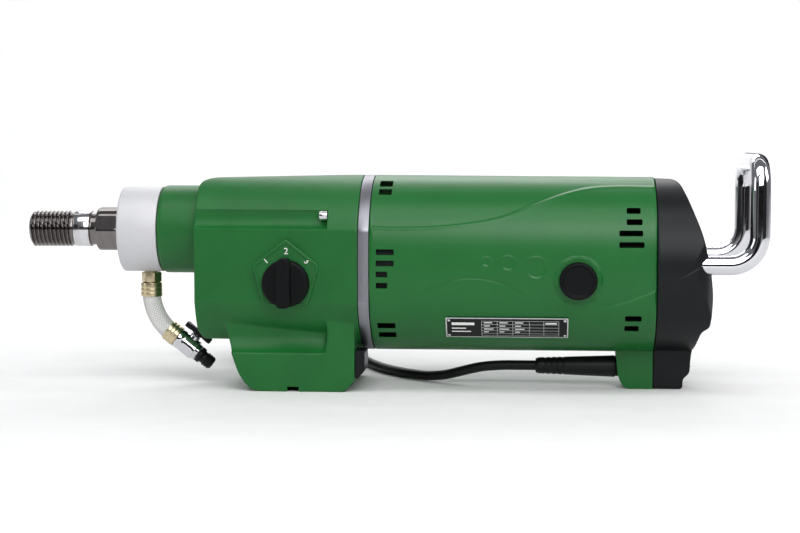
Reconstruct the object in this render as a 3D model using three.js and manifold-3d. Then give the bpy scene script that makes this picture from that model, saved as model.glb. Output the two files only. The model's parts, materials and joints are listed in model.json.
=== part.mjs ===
// Core drill rig: a three-speed wet diamond core drill motor.
// Millimetres. +X runs from the drill spindle to the carrying handle, +Z is up from the mounting pad.
// The origin is on the mounting pad's face, on the land behind its keyway.
import * as THREE from 'three';
import { mergeVertices } from 'three/addons/utils/BufferGeometryUtils.js';
import Module from 'manifold-3d';

// ---- driving dimensions ----
const GAP = 0.3; // between pieces that touch
const motorZ = 107; // height of the motor axis
const spindleZ = 135; // height of the drill spindle's axis
const layZ = 77; // height of the layshaft's axis
const tipX = -264; // spindle nose
const threadRadius = 15.875; // 1 1/4 in - 7 UNC
const threadPitch = 3.63;
const threadTurns = 10;
const collarFrontX = -181;
const collarBackX = -146.3;
const collarRadius = 37.3;
const neckRadius = 38.4;
const boxFrontX = -110; // gearbox casting
const boxRearX = 31.7;
const bodyRadius = 76; // round section of gearbox and motor
const sideHalf = 69.5; // flats on both sides, at the flange
const frontSideHalf = 53; // and at the gearbox front
const wall = 6.5;
const flangeX = 32; // silver intermediate flange
const flangeThick = 9.3;
const motorX = 41.6; // motor housing
const motorRearX = 280.7;
const capX = 281; // rear cap
const capRearX = 328;
const blockHalf = 58; // mounting block
const keyX = -24.5; // keyway across the mounting pad
const keyWidth = 10;
const keyDepth = 4.3;
const footHalf = 17; // narrow rear foot
const knobX = -29;
const knobZ = 92.9;
const shiftStep = 12.5; // from one speed's gear to the next
const gearWidth = 11;
const brushX = 216;
const brushZ = 97;
const handleTube = 8.2; // radius
const handleHalf = 65.5;
const handleX = 364.6;
const handleLegZ = 110;
const handleTopZ = 193.8;
const portX = -158; // water port under the collar
const hoseRadius = 8.2;
const cordRadius = 4.3;
const coilMean = 44; // radius to the middle of the coil's turns
const coilBundle = 13.4; // half thickness of the bundle of turns
const coilX = -45;
const coilY = 162;

const wasm = await Module();
wasm.setup();
const rig = new THREE.Group();
rig.name = 'core_drill_rig';

// ---- materials ----
const paint = (color, metalness, roughness) => new THREE.MeshStandardMaterial({ color, metalness, roughness });
const green = paint(0x1f6b34, 0.0, 0.42);
const black = paint(0x1b1d20, 0.0, 0.55);
const rubber = paint(0x151617, 0.0, 0.8);
const steel = paint(0x8d8f93, 0.9, 0.3);
const darkSteel = paint(0x55565a, 0.85, 0.35);
const chrome = paint(0xd8d8da, 1.0, 0.08);
const aluminium = paint(0xd0d2d6, 0.9, 0.4);
const brass = paint(0xb8963e, 0.95, 0.3);
const copper = paint(0xa65c2e, 0.9, 0.35);
const clear = paint(0xc9cbc8, 0.0, 0.25);
const carbon = paint(0x2a2a2c, 0.2, 0.7);

// ---- solids ----
function toSolid(geometry) {
  const g = geometry.index ? geometry.clone() : geometry;
  g.deleteAttribute('normal');
  g.deleteAttribute('uv');
  const m = mergeVertices(g, 1e-4);
  const vertProperties = new Float32Array(m.attributes.position.array);
  const corner = (i) => new THREE.Vector3().fromArray(vertProperties, 3 * i);
  const kept = [];
  let volume = 0;
  for (let i = 0; i < m.index.count; i += 3) {
    const [a, b, c] = [0, 1, 2].map((k) => m.index.getX(i + k));
    if (a !== b && b !== c && c !== a) {
      kept.push([a, b, c]);
      volume += corner(a).dot(corner(b).cross(corner(c)));
    }
  }
  const triVerts = new Uint32Array(kept.flatMap(([a, b, c]) => (volume > 0 ? [a, b, c] : [a, c, b])));
  return new wasm.Manifold(new wasm.Mesh({ numProp: 3, vertProperties, triVerts }));
}

function toGeometry(solid) {
  const mesh = solid.getMesh();
  const g = new THREE.BufferGeometry();
  g.setAttribute('position', new THREE.BufferAttribute(new Float32Array(mesh.vertProperties), 3));
  g.setIndex(new THREE.BufferAttribute(new Uint32Array(mesh.triVerts), 1));
  g.computeVertexNormals();
  return g;
}

function add(name, solid, material) {
  const mesh = new THREE.Mesh(toGeometry(solid), material);
  mesh.name = name;
  rig.add(mesh);
}

function box(x0, x1, y0, y1, z0, z1) {
  const g = new THREE.BoxGeometry(x1 - x0, y1 - y0, z1 - z0);
  g.translate((x0 + x1) / 2, (y0 + y1) / 2, (z0 + z1) / 2);
  return toSolid(g);
}

// A turned solid along X from a profile of [x, radius] that starts and ends on the axis or closes on itself.
function turned(profile, sides, z = 0, y = 0) {
  const g = new THREE.LatheGeometry(profile.map(([x, r]) => new THREE.Vector2(r, x)), sides);
  g.rotateX(Math.PI / 2);
  g.rotateY(Math.PI / 2);
  g.translate(0, y, z);
  return toSolid(g);
}

function rod(x0, x1, radius, sides, z = 0, y = 0) {
  return turned([[x0, 0], [x0, radius], [x1, radius], [x1, 0]], sides, z, y);
}

function ring(x0, x1, inner, outer, sides, z = 0, y = 0) {
  return turned([[x0, inner], [x0, outer], [x1, outer], [x1, inner], [x0, inner]], sides, z, y);
}

// The same along Y.
function turnedY(profile, sides, x, z) {
  const g = new THREE.LatheGeometry(profile.map(([y, r]) => new THREE.Vector2(r, y)), sides);
  g.translate(x, 0, z);
  return toSolid(g);
}

// A flat outline of [a, b] pushed from `from` to `to` along the named axis.
function pushed(outline, axis, from, to) {
  const shape = new THREE.Shape(outline.map(([a, b]) => new THREE.Vector2(a, b)));
  const g = new THREE.ExtrudeGeometry(shape, { depth: to - from, bevelEnabled: false, curveSegments: 1 });
  g.translate(0, 0, axis === 'y' ? -to : from);
  const basis = new THREE.Matrix4();
  if (axis === 'x') basis.set(0, 0, 1, 0, 1, 0, 0, 0, 0, 1, 0, 0, 0, 0, 0, 1);
  if (axis === 'y') basis.set(1, 0, 0, 0, 0, 0, -1, 0, 0, 1, 0, 0, 0, 0, 0, 1);
  if (axis !== 'z') g.applyMatrix4(basis);
  return toSolid(g);
}

// Points of an arc, from one angle to another in degrees.
function arc(cx, cy, radius, from, to, steps) {
  const points = [];
  for (let i = 0; i <= steps; i += 1) {
    const t = THREE.MathUtils.degToRad(from + ((to - from) * i) / steps);
    points.push([cx + radius * Math.cos(t), cy + radius * Math.sin(t)]);
  }
  return points;
}

// The body's section across X, as [y, z]: round, with a flat on each side.
function section(radius, half, steps) {
  const open = THREE.MathUtils.radToDeg(Math.acos(Math.min(1, half / radius)));
  const top = arc(0, motorZ, radius, open, 180 - open, steps);
  const bottom = arc(0, motorZ, radius, 180 + open, 360 - open, steps);
  return [...top, ...bottom];
}

// A round tube along a curve.
function swept(path, radius, sides, steps) {
  const profile = new THREE.Shape();
  for (let i = 0; i < sides; i += 1) {
    const t = (2 * Math.PI * i) / sides;
    if (i === 0) profile.moveTo(radius, 0);
    else profile.lineTo(radius * Math.cos(t), radius * Math.sin(t));
  }
  profile.closePath();
  return toSolid(new THREE.ExtrudeGeometry(profile, { steps, extrudePath: path, curveSegments: 1 }));
}

// A tube along a path of points with lines and arcs already in it.
function tube(points, radius, sides, steps) {
  const path = new THREE.CurvePath();
  for (let i = 1; i < points.length; i += 1) {
    path.add(new THREE.LineCurve3(points[i - 1], points[i]));
  }
  return swept(path, radius, sides, steps);
}

// A tube on one smooth curve through the points.
function smoothTube(points, radius, sides, steps) {
  return swept(new THREE.CatmullRomCurve3(points, false, 'centripetal'), radius, sides, steps);
}

function joined(...solids) {
  return solids.reduce((sum, next) => sum.add(next));
}

function less(solid, ...tools) {
  return tools.reduce((rest, tool) => rest.subtract(tool), solid);
}

// ---- gears ----
// A spur gear's outline with involute flanks; `turn` puts a tooth's middle at that angle from +Z.
function gearOutline(teeth, module, turn, z) {
  const pitch = (module * teeth) / 2;
  const base = pitch * Math.cos(Math.PI / 9);
  const tip = pitch + 0.92 * module;
  const root = pitch - 1.2 * module;
  const slack = 0.17 / pitch;
  const involute = (r) => {
    const c = Math.min(1, base / r);
    const a = Math.acos(c);
    return Math.tan(a) - a;
  };
  const half = (r) => Math.PI / (2 * teeth) + involute(pitch) - involute(Math.max(r, base)) - slack;
  const radii = [root, tip];
  const outline = [];
  for (let i = 0; i < teeth; i += 1) {
    const middle = turn + (2 * Math.PI * i) / teeth;
    radii.forEach((r) => outline.push([middle - half(r), r]));
    [...radii].reverse().forEach((r) => outline.push([middle + half(r), r]));
  }
  return outline.map(([t, r]) => [r * Math.sin(t), z + r * Math.cos(t)]).reverse();
}

function gear(teeth, module, turn, z, x0, x1) {
  return pushed(gearOutline(teeth, module, turn, z), 'x', x0, x1);
}

const speeds = [
  { name: 'gear_one', lay: 22, out: 36, x: -66.5 - shiftStep },
  { name: 'gear_two', lay: 26, out: 32, x: -66.5 },
  { name: 'gear_three', lay: 29, out: 29, x: -66.5 + shiftStep },
];
const gearModule = 2;
const inputModule = 1.25;
const pinionTeeth = 16;
const inputTeeth = 32;

// ---- drill spindle ----
const nose = [[tipX, 6.5], [tipX, threadRadius - 2.2]];
for (let i = 0; i < threadTurns; i += 1) {
  const x = tipX + 1.8 + i * threadPitch;
  nose.push([x, threadRadius - 0.2]);
  nose.push([x + threadPitch / 2, threadRadius - 2.1]);
}
const spindleProfile = [
  ...nose,
  [tipX + 39.2, 15.7], [-210, 15.7], [-209.4, 14.3], [-204, 14.3], [-204, 17],
  [-112, 17], [-112, 16], [-8.3, 16], [-8.3, 12.5],
  [3.2, 12.5], [3.2, 0], [-120, 0], [-120, 6.5], [tipX, 6.5],
];
const wrenchFlats = 36; // across flats, with the corners turned off
const wrenchTurn = 10; // degrees from a corner pointing sideways
let spindle = turned(spindleProfile, 20, spindleZ);
const hexagon = arc(0, spindleZ, wrenchFlats / Math.sqrt(3), wrenchTurn, wrenchTurn + 300, 5);
const wrench = pushed(hexagon, 'x', -204, -183.5).intersect(rod(-210, -180, 19.3, 24, spindleZ));
spindle = spindle.add(less(wrench, rod(-210, -180, 16, 16, spindleZ)));
spindle = less(spindle, turnedY([[-30, 0], [-30, 3], [30, 3], [30, 0]], 8, portX, spindleZ));
spindle = less(spindle, box(-96, -11, -2.6, 2.6, spindleZ + 10.4, spindleZ + 20));
add('spindle', spindle, darkSteel);

// ---- water collar: a ring that stays still while the spindle turns in it ----
const collarProfile = [
  [collarFrontX, 30], [collarFrontX, collarRadius - 0.8], [collarFrontX + 0.8, collarRadius],
  [collarBackX - 0.3, collarRadius], [collarBackX, collarRadius - 0.3], [collarBackX, 27.3],
  [-152, 27.3], [-152, 21], [-164, 21], [-164, 30], [collarFrontX, 30],
];
let collar = turned(collarProfile, 24, spindleZ);
const portZ = spindleZ - collarRadius;
const portTool = new THREE.CylinderGeometry(5.4, 5.4, 26, 12);
portTool.rotateX(Math.PI / 2);
portTool.translate(portX, 0, portZ + 7);
collar = less(collar, toSolid(portTool));
const fittingTop = portZ + 4;
add('water_collar', collar, aluminium);
add('collar_cover', ring(collarFrontX + 0.2, -177.3, 20, 29.5, 20, spindleZ), steel);
add('seal_front', ring(-177, -164.3, 17.4, 29.5, 20, spindleZ), rubber);
add('seal_rear', ring(-151.7, collarBackX, 17.4, 26.9, 20, spindleZ), rubber);

// ---- water hose, ball valve and quick coupling ----
function upright(profile, sides, x, y) {
  const g = new THREE.LatheGeometry(profile.map(([z, r]) => new THREE.Vector2(r, z)), sides);
  g.rotateX(Math.PI / 2);
  g.translate(x, y, 0);
  return toSolid(g);
}

const fittingLow = 84.5;
let fitting = upright([[88, 0], [88, 7.8], [portZ - GAP, 7.8], [portZ - GAP, 0]], 6, portX, 0);
const stub = [[fittingLow, 0], [fittingLow, 5.2], [fittingTop, 5.2], [fittingTop, 0]];
fitting = joined(fitting, upright(stub, 12, portX, 0));
const waterway = [[fittingLow - 5, 0], [fittingLow - 5, 3], [fittingTop + 5, 3], [fittingTop + 5, 0]];
fitting = less(fitting, upright(waterway, 8, portX, 0));
add('hose_fitting', fitting, brass);
const upperSleeve = [[75.5, 8.8], [75.5, 9.6], [87.7, 9.6], [87.7, 5.5], [84.3, 5.5], [84.3, 8.8], [75.5, 8.8]];
add('crimp_upper', upright(upperSleeve, 16, portX, 0), brass);

// The hose hangs straight down, then turns towards the mounting block in an arc.
const hoseTopZ = 84;
const hoseBendZ = 79;
const hoseBend = 44;
const hoseSlope = 52; // degrees turned from straight down
const hosePoints = [new THREE.Vector3(portX, 0, hoseTopZ)];
for (let i = 0; i <= 8; i += 1) {
  const t = THREE.MathUtils.degToRad((hoseSlope * i) / 8);
  const x = portX + hoseBend * (1 - Math.cos(t));
  hosePoints.push(new THREE.Vector3(x, 0, hoseBendZ - hoseBend * Math.sin(t)));
}
const slope = THREE.MathUtils.degToRad(hoseSlope);
const along = new THREE.Vector3(Math.sin(slope), 0, -Math.cos(slope));
const bendEnd = hosePoints[hosePoints.length - 1];
const hoseEnd = bendEnd.clone().addScaledVector(along, 5);
hosePoints.push(hoseEnd);
const hoseInner = hosePoints.map((p) => p.clone());
hoseInner[0].z += 3;
hoseInner[hoseInner.length - 1].addScaledVector(along, 3);
const hose = tube(hosePoints, hoseRadius, 12, 10).subtract(tube(hoseInner, 5.6, 8, 10));
add('water_hose', hose, clear);

// A turned solid whose axis runs from a point along the hose's end direction, profile [distance, radius].
function onHoseEnd(profile, sides, shift = 0) {
  const g = new THREE.LatheGeometry(profile.map(([d, r]) => new THREE.Vector2(r, d)), sides);
  g.applyQuaternion(new THREE.Quaternion().setFromUnitVectors(new THREE.Vector3(0, 1, 0), along));
  const at = hoseEnd.clone().addScaledVector(along, shift);
  g.translate(at.x, at.y, at.z);
  return toSolid(g);
}

const lowerSleeve = [[-8, 8.6], [-8, 9.5], [3, 9.5], [3, 5.2], [GAP, 5.2], [GAP, 8.6], [-8, 8.6]];
add('crimp_lower', onHoseEnd(lowerSleeve, 16), brass);
const valveAt = 15; // middle of the ball, from the hose's end
let valve = onHoseEnd([[-1, 0], [-1, 4.6], [3.3, 4.6], [3.3, 9], [22.5, 9], [22.5, 7.4], [26, 7.4], [26, 0]], 12);
valve = less(valve, onHoseEnd([[-4, 0], [-4, 2.8], [40, 2.8], [40, 0]], 8));
const ballRadius = 6.6;
const ballAt = hoseEnd.clone().addScaledVector(along, valveAt);
const chamber = new THREE.SphereGeometry(ballRadius + 0.5, 12, 8);
chamber.translate(ballAt.x, ballAt.y, ballAt.z);
valve = less(valve, toSolid(chamber));
// The stem stands across the flow on the valve's upper side.
const across = new THREE.Vector3(Math.cos(slope), 0, Math.sin(slope));
function onStem(profile, sides) {
  const g = new THREE.LatheGeometry(profile.map(([d, r]) => new THREE.Vector2(r, d)), sides);
  g.applyQuaternion(new THREE.Quaternion().setFromUnitVectors(new THREE.Vector3(0, 1, 0), across));
  g.translate(ballAt.x, ballAt.y, ballAt.z);
  return toSolid(g);
}
const stemBoss = onStem([[8, 0], [8, 4.4], [11.4, 4.4], [11.4, 0]], 12);
valve = joined(valve, less(stemBoss, onStem([[0, 0], [0, 2.6], [14, 2.6], [14, 0]], 12)));
valve = less(valve, onStem([[3, 0], [3, 2.6], [14, 2.6], [14, 0]], 12));
add('valve_body', valve, chrome);
const ball = new THREE.SphereGeometry(ballRadius, 12, 6);
ball.translate(ballAt.x, ballAt.y, ballAt.z);
let ballSolid = less(toSolid(ball), onHoseEnd([[0, 0], [0, 2.8], [30, 2.8], [30, 0]], 8));
ballSolid = joined(ballSolid, onStem([[5, 0], [5, 2.2], [14.4, 2.2], [14.4, 0]], 12));
add('valve_ball', ballSolid, steel);
// The butterfly lever: a hub and two wings that lie along the hose when the valve is open.
function leverBox(along0, along1, wide, low, high) {
  const g = new THREE.BoxGeometry(high - low, wide, along1 - along0);
  const basis = new THREE.Matrix4().makeBasis(across, new THREE.Vector3(0, 1, 0), along.clone().negate());
  g.translate((low + high) / 2, 0, -(along0 + along1) / 2);
  g.applyMatrix4(basis);
  g.translate(ballAt.x, ballAt.y, ballAt.z);
  return toSolid(g);
}
let lever = joined(
  onStem([[11.8, 0], [11.8, 4.6], [17, 4.6], [17, 0]], 12),
  leverBox(-12, 12, 5.4, 13, 16.4),
  leverBox(-13.5, -9, 9, 12.4, 17),
  leverBox(9, 13.5, 9, 12.4, 17),
);
lever = less(lever, onStem([[10, 0], [10, 2.5], [14.7, 2.5], [14.7, 0]], 12));
add('valve_lever', lever, black);
let nipple = onHoseEnd([
  [26.3, 3], [26.3, 7.2], [29, 7.2], [29, 5.2], [34, 5.2],
  [35.5, 6.6], [37, 5.2], [41, 5.2], [42, 4.4], [42, 3], [26.3, 3],
], 12);
add('coupling_nipple', nipple, steel);

// ---- gearbox casting with the spindle neck and the mounting block ----
const taper = (half) => (x) => 1 - ((boxRearX - x) / (boxRearX - boxFrontX)) * (1 - half / sideHalf);
function tapered(outline, x0, x1, scale) {
  const shape = new THREE.Shape(outline.map(([a, b]) => new THREE.Vector2(a, b)));
  const g = new THREE.ExtrudeGeometry(shape, { depth: x1 - x0, bevelEnabled: false, curveSegments: 1 });
  g.translate(0, 0, x0);
  g.applyMatrix4(new THREE.Matrix4().set(0, 0, 1, 0, 1, 0, 0, 0, 0, 1, 0, 0, 0, 0, 0, 1));
  const p = g.attributes.position;
  for (let i = 0; i < p.count; i += 1) {
    p.setY(i, p.getY(i) * scale(p.getX(i)));
  }
  return toSolid(g);
}

const narrowing = taper(frontSideHalf);
const outerBody = tapered(section(bodyRadius, sideHalf, 10), boxFrontX, boxRearX, narrowing);
// Seen from the side: the top rises a little to the rear, and the underside is flat in front of the block.
const boxOutline = [
  [boxFrontX, 47], [boxFrontX + 3, 41.5], [-40, 41.5], [-20, 34], [boxRearX, 29.5], [boxRearX, 183],
  [boxFrontX + 9, 180.3], [boxFrontX + 2.5, 178], [boxFrontX, 173.5],
];
let gearbox = outerBody.intersect(pushed(boxOutline, 'y', -90, 90));
const blockOutline = [
  [-88, 66], [-76.3, 28.8], [-70.8, 13], ...arc(-58.5, 13, 13, 200, 262, 4).map(([x, z]) => [x, Math.max(z, 0)]),
  [19, 0], [28, 9.5], [28, 66],
];
let block = pushed(blockOutline, 'y', -blockHalf, blockHalf);
// A rounded scoop on each side under the gearbox, closed at the rear by an upright rib.
for (const side of [-1, 1]) {
  const g = new THREE.CylinderGeometry(17, 17, 120, 16);
  g.rotateZ(Math.PI / 2);
  g.translate(6 - 60, side * 64, 49);
  const outer = side > 0 ? [46.8, 90] : [-90, -46.8];
  block = less(block, toSolid(g), box(-100, 4, outer[0], outer[1], 49, 80));
}
gearbox = gearbox.add(block);
gearbox = gearbox.add(turned([
  [collarBackX + GAP, 0], [collarBackX + GAP, neckRadius - 2], [collarBackX + 2.6, neckRadius],
  [boxFrontX + 2, neckRadius], [boxFrontX + 2, 0],
], 32, spindleZ));
// The long groove on each side that gives access to the flange screw.
const grooveZ = 149.7;
const grooveY = 69.3;
const grooveEndX = 6;
const round = (y, z, radius, sides) => arc(y, z, radius, 0, 360 - 360 / sides, sides - 1);
for (const side of [-1, 1]) {
  gearbox = less(gearbox, tapered(round(side * grooveY, grooveZ, 11, 12), boxFrontX - 5, grooveEndX, narrowing));
}
// Raised five-sided pad round the speed selector.
const padY = -66;
const padOutline = [[-29, 130.4], [-0.5, 108.3], [-10.5, 74.5], [-48, 74.5], [-57.5, 108.3]];
gearbox = gearbox.add(pushed(padOutline, 'y', padY, -52));
// Gear chamber, open to the flange, and the bores in the front wall.
const chamberTop = 175.5;
const chamberSection = section(bodyRadius - wall, sideHalf - wall, 8);
let chamberTool = tapered(chamberSection, -98, boxRearX + 5, (x) => narrowing(x) - 0.02);
const chamberSide = [[-98, 46], [40, 40.5], [40, chamberTop + 1], [-98, chamberTop - 2]];
chamberTool = chamberTool.intersect(pushed(chamberSide, 'y', -90, 90));
// Inside, the wall swells around the two grooves.
for (const side of [-1, 1]) {
  const grooveWall = round(side * grooveY, grooveZ, 16.5, 12);
  chamberTool = less(chamberTool, tapered(grooveWall, -112, grooveEndX + 6, narrowing));
}
gearbox = less(
  gearbox,
  chamberTool,
  rod(-160, -90, 22, 20, spindleZ),
  rod(-134.3, -90, 31, 20, spindleZ),
  rod(-104.3, -90, 13.3, 16, layZ),
);
// Keyway across the pad and four threaded holes for the stand's screws.
gearbox = less(gearbox, box(keyX - keyWidth / 2, keyX + keyWidth / 2, -80, 80, -5, keyDepth));
for (const x of [-50, 12]) {
  for (const y of [-38, 38]) {
    gearbox = less(gearbox, upright([[-5, 0], [-5, 4.2], [18, 4.2], [18, 0]], 8, x, y));
  }
}
// Bore for the speed selector's shaft and its seat.
gearbox = less(gearbox, turnedY([[-90, 0], [-90, 6.3], [-30, 6.3], [-30, 0]], 16, knobX, knobZ));
add('gearbox_housing', gearbox, green);
const stopOutline = [[28.3, 12], [31, 12], [36.5, 18], [36.5, 35], [28.3, 35]];
add('rear_bumper', pushed(stopOutline, 'y', -56, -27), black);

// ---- bearings ----
add('bearing_front', ring(-134, -116, 17.4, 30.5, 20, spindleZ), steel);
add('shaft_seal', ring(-144, -134.6, 17.4, 21.6, 20, spindleZ), rubber);
add('bearing_rear', ring(-7.4, 2.6, 12.9, 23.3, 16, spindleZ), steel);
add('lay_bearing_front', ring(-104, -97.3, 6.3, 13, 16, layZ), steel);
add('lay_bearing_rear', ring(flangeX + 0.3, flangeX + 7, 6.3, 13, 16, layZ), steel);
add('motor_bearing_front', ring(flangeX - 3.7, flangeX + 7, 6.3, 14.6, 16, motorZ), steel);
add('motor_bearing_rear', ring(262.3, 271.7, 6.3, 14.6, 16, motorZ), steel);

// ---- bearing plate across the gear chamber ----
const plateSection = section(bodyRadius - wall - 1.2, sideHalf - wall, 8);
let plate = tapered(plateSection, -7.7, 5.2, (x) => narrowing(x) - 0.04);
plate = plate.intersect(box(-20, 20, -90, 90, 44.5, chamberTop - 2));
for (const side of [-1, 1]) {
  plate = less(plate, tapered(round(side * grooveY, grooveZ, 17.2, 12), -20, grooveEndX + 6.4, narrowing));
}
plate = less(plate, rod(-20, 2.9, 23.7, 20, spindleZ), rod(-20, 20, 13.6, 20, spindleZ));
plate = less(plate, rod(-20, 20, 9, 16, layZ));
const railY = -42.5;
const railZ = 121;
plate = less(plate, rod(-20, 20, 3.3, 10, railZ, railY));
add('bearing_plate', plate, aluminium);

// ---- gear train ----
for (const { name, out, x } of speeds) {
  const turn = Math.PI + Math.PI / out;
  const wheel = gear(out, gearModule, turn, spindleZ, x - gearWidth / 2, x + gearWidth / 2);
  add(name, less(wheel, rod(-100, 0, 16.3, 24, spindleZ)), steel);
}
let cluster = rod(-103.9, flangeX + 6.8, 6, 12, layZ);
for (const { lay, x } of speeds) {
  cluster = cluster.add(gear(lay, gearModule, 0, layZ, x - gearWidth / 2 - 0.2, x + gearWidth / 2 + 0.2));
}
cluster = cluster.add(rod(-86, -10, 14, 16, layZ));
add('layshaft', cluster, steel);
add('input_gear', less(gear(inputTeeth, inputModule, 0, layZ, 8, 20), rod(0, 40, 6.3, 12, layZ)), steel);

// ---- speed selector ----
const knobProfile = [[-86.5, 0], [-86.5, 8], [-81, 16.5], [-70, 20.3], [padY - GAP, 20.3], [padY - GAP, 0]];
let knob = turnedY(knobProfile, 28, knobX, knobZ);
for (const side of [-1, 1]) {
  const x = knobX + side * 21.2;
  knob = less(knob, box(x - 15, x + 15, -92, -77, knobZ - 30, knobZ + 30));
}
knob = joined(knob, box(knobX - 6.2, knobX + 6.2, -86, -72, knobZ - 20, knobZ + 22.5));
knob = less(knob, turnedY([[-76, 0], [-76, 4.3], [-60, 4.3], [-60, 0]], 12, knobX, knobZ));
add('selector_knob', knob, black);
const crankRadius = shiftStep / Math.sin(Math.PI / 4);
const armY = -49;
const crankProfile = [[-75.7, 0], [-75.7, 4], [-57.6, 4], [-57.6, 5.9], [armY, 5.9], [armY, 0]];
let crank = turnedY(crankProfile, 12, knobX, knobZ);
crank = joined(crank, box(knobX - 4.5, knobX + 4.5, armY - 3, armY, knobZ, knobZ + crankRadius + 4.5));
const crankPin = [[armY - 1, 0], [armY - 1, 2.5], [-44.6, 2.5], [-44.6, 0]];
crank = joined(crank, turnedY(crankPin, 10, knobX, knobZ + crankRadius));
add('selector_crank', crank, steel);
// The carriage runs on a rail and carries the fork that holds the draw collar.
const pinZ = knobZ + crankRadius;
let carriage = box(knobX - 7, knobX + 7, armY + 0.6, -43.6, pinZ - 10.5, pinZ + 6);
carriage = less(carriage, box(knobX - 3.4, knobX + 3.4, -60, -40, pinZ - 8.5, pinZ + 3.1));
carriage = joined(carriage, box(knobX - 7, knobX + 7, railY - 5.4, railY + 5.4, railZ - 5.2, railZ + 5.4));
carriage = joined(carriage, box(knobX - 2, knobX + 2, railY, -13, railZ - 5, railZ + 5.4));
carriage = joined(carriage, box(knobX - 2, knobX + 2, -31, -20, railZ - 5, 142));
carriage = less(carriage, rod(-60, 0, 3.4, 12, railZ, railY), rod(-60, 0, 21.2, 24, spindleZ));
add('shift_fork', carriage, steel);
add('shift_rail', rod(-62, 4.8, 3, 10, railZ, railY), steel);
let drawCollar = turned([
  [knobX - 5, 16.5], [knobX - 5, 24.5], [knobX - 2.6, 24.5], [knobX - 2.6, 20.6], [knobX + 2.6, 20.6],
  [knobX + 2.6, 24.5], [knobX + 5, 24.5], [knobX + 5, 16.5], [knobX - 5, 16.5],
], 24, spindleZ);
drawCollar = joined(drawCollar, box(-69, knobX + 5, -2.2, 2.2, spindleZ + 11, spindleZ + 15.3));
drawCollar = joined(drawCollar, box(knobX - 5, knobX + 5, -2.2, 2.2, spindleZ + 14, spindleZ + 19));
add('draw_key', drawCollar, steel);

// Socket screws at the rear end of the two grooves.
for (const side of [-1, 1]) {
  const screw = less(
    rod(grooveEndX - 7, grooveEndX - GAP, 4, 16, grooveZ, side * 60.5),
    rod(grooveEndX - 10, grooveEndX - 3.5, 2.2, 6, grooveZ, side * 60.5),
  );
  add(side < 0 ? 'flange_screw_near' : 'flange_screw_far', screw, steel);
}

// ---- intermediate flange between gearbox and motor ----
let flange = pushed(section(bodyRadius, sideHalf, 12), 'x', flangeX, flangeX + flangeThick);
flange = joined(flange, rod(flangeX - 4, flangeX + 2, 20, 20, motorZ));
flange = less(flange, rod(flangeX - 10, flangeX + 7.3, 15, 20, motorZ));
flange = less(flange, rod(flangeX - 10, flangeX + 20, 8, 16, motorZ));
flange = less(flange, rod(flangeX - 10, flangeX + 7.3, 13.3, 16, layZ));
add('intermediate_flange', flange, aluminium);

// ---- motor ----
let shaft = rod(motorX, 250, 9.7, 16, motorZ);
shaft = joined(shaft, rod(5.6, 273, 6, 12, motorZ));
shaft = shaft.add(gear(pinionTeeth, inputModule, Math.PI + Math.PI / pinionTeeth, motorZ, 6.5, 21.5));
add('armature_shaft', shaft, steel);
// Laminated core with open winding slots.
const coreSlots = 12;
const coreOutline = [];
for (let i = 0; i < coreSlots; i += 1) {
  const middle = (2 * Math.PI * i) / coreSlots;
  const step = Math.PI / coreSlots;
  [[-step * 0.82, 33], [step * 0.82, 33], [step * 0.7, 24], [step * 1.3, 24]].forEach(([t, r]) => {
    coreOutline.push([r * Math.sin(middle + t), motorZ + r * Math.cos(middle + t)]);
  });
}
coreOutline.reverse();
add('armature_core', less(pushed(coreOutline, 'x', 105, 185), rod(90, 200, 10, 16, motorZ)), darkSteel);
const segments = joined(rod(202, 230, 19, 24, motorZ), rod(198, 202, 22, 24, motorZ));
add('commutator', less(segments, rod(190, 240, 10, 16, motorZ)), copper);
const fanBlades = 7;
let fan = ring(66, 69, 10.2, 58, 24, motorZ).add(ring(52, 69, 10.2, 16, 16, motorZ));
for (let i = 0; i < fanBlades; i += 1) {
  const g = new THREE.BoxGeometry(13, 2.4, 40);
  g.translate(60.5, 0, 35);
  g.rotateX((2 * Math.PI * i) / fanBlades);
  g.translate(0, 0, motorZ);
  fan = fan.add(toSolid(g));
}
add('cooling_fan', fan, black);
// Field core: a ring with two pole shoes round the armature.
let stator = ring(102, 188, 52, 66.4, 24, motorZ);
for (const low of [motorZ - 60, motorZ + 25]) {
  stator = stator.add(box(102, 188, -26, 26, low, low + 35));
}
stator = less(stator, rod(95, 195, 34.4, 20, motorZ));
add('stator', stator, darkSteel);

// ---- motor housing ----
// The upper half falls a little towards the rear.
const housingScale = (x) => 1 - ((x - motorX) / (motorRearX - motorX)) * 0.02;
function housingBody(outline, x0, x1) {
  const shape = new THREE.Shape(outline.map(([a, b]) => new THREE.Vector2(a, b)));
  const g = new THREE.ExtrudeGeometry(shape, { depth: x1 - x0, bevelEnabled: false, curveSegments: 1 });
  g.translate(0, 0, x0);
  g.applyMatrix4(new THREE.Matrix4().set(0, 0, 1, 0, 1, 0, 0, 0, 0, 1, 0, 0, 0, 0, 0, 1));
  const p = g.attributes.position;
  for (let i = 0; i < p.count; i += 1) {
    const rise = p.getZ(i) - motorZ;
    p.setZ(i, motorZ + (rise > 0 ? rise * housingScale(p.getX(i)) : rise));
  }
  return toSolid(g);
}
const motorHalf = 71;
let housing = housingBody(section(bodyRadius, motorHalf, 12), motorX, motorRearX);
const footSide = [[249, 34], [251.5, 9], [257, 0], [motorRearX, 0], [motorRearX, 34]];
housing = housing.add(pushed(footSide, 'y', -footHalf, footHalf));
housing = less(housing, rod(motorX - 10, 244, 67.3, 24, motorZ), rod(240, motorRearX + 10, 62.4, 24, motorZ));
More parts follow.
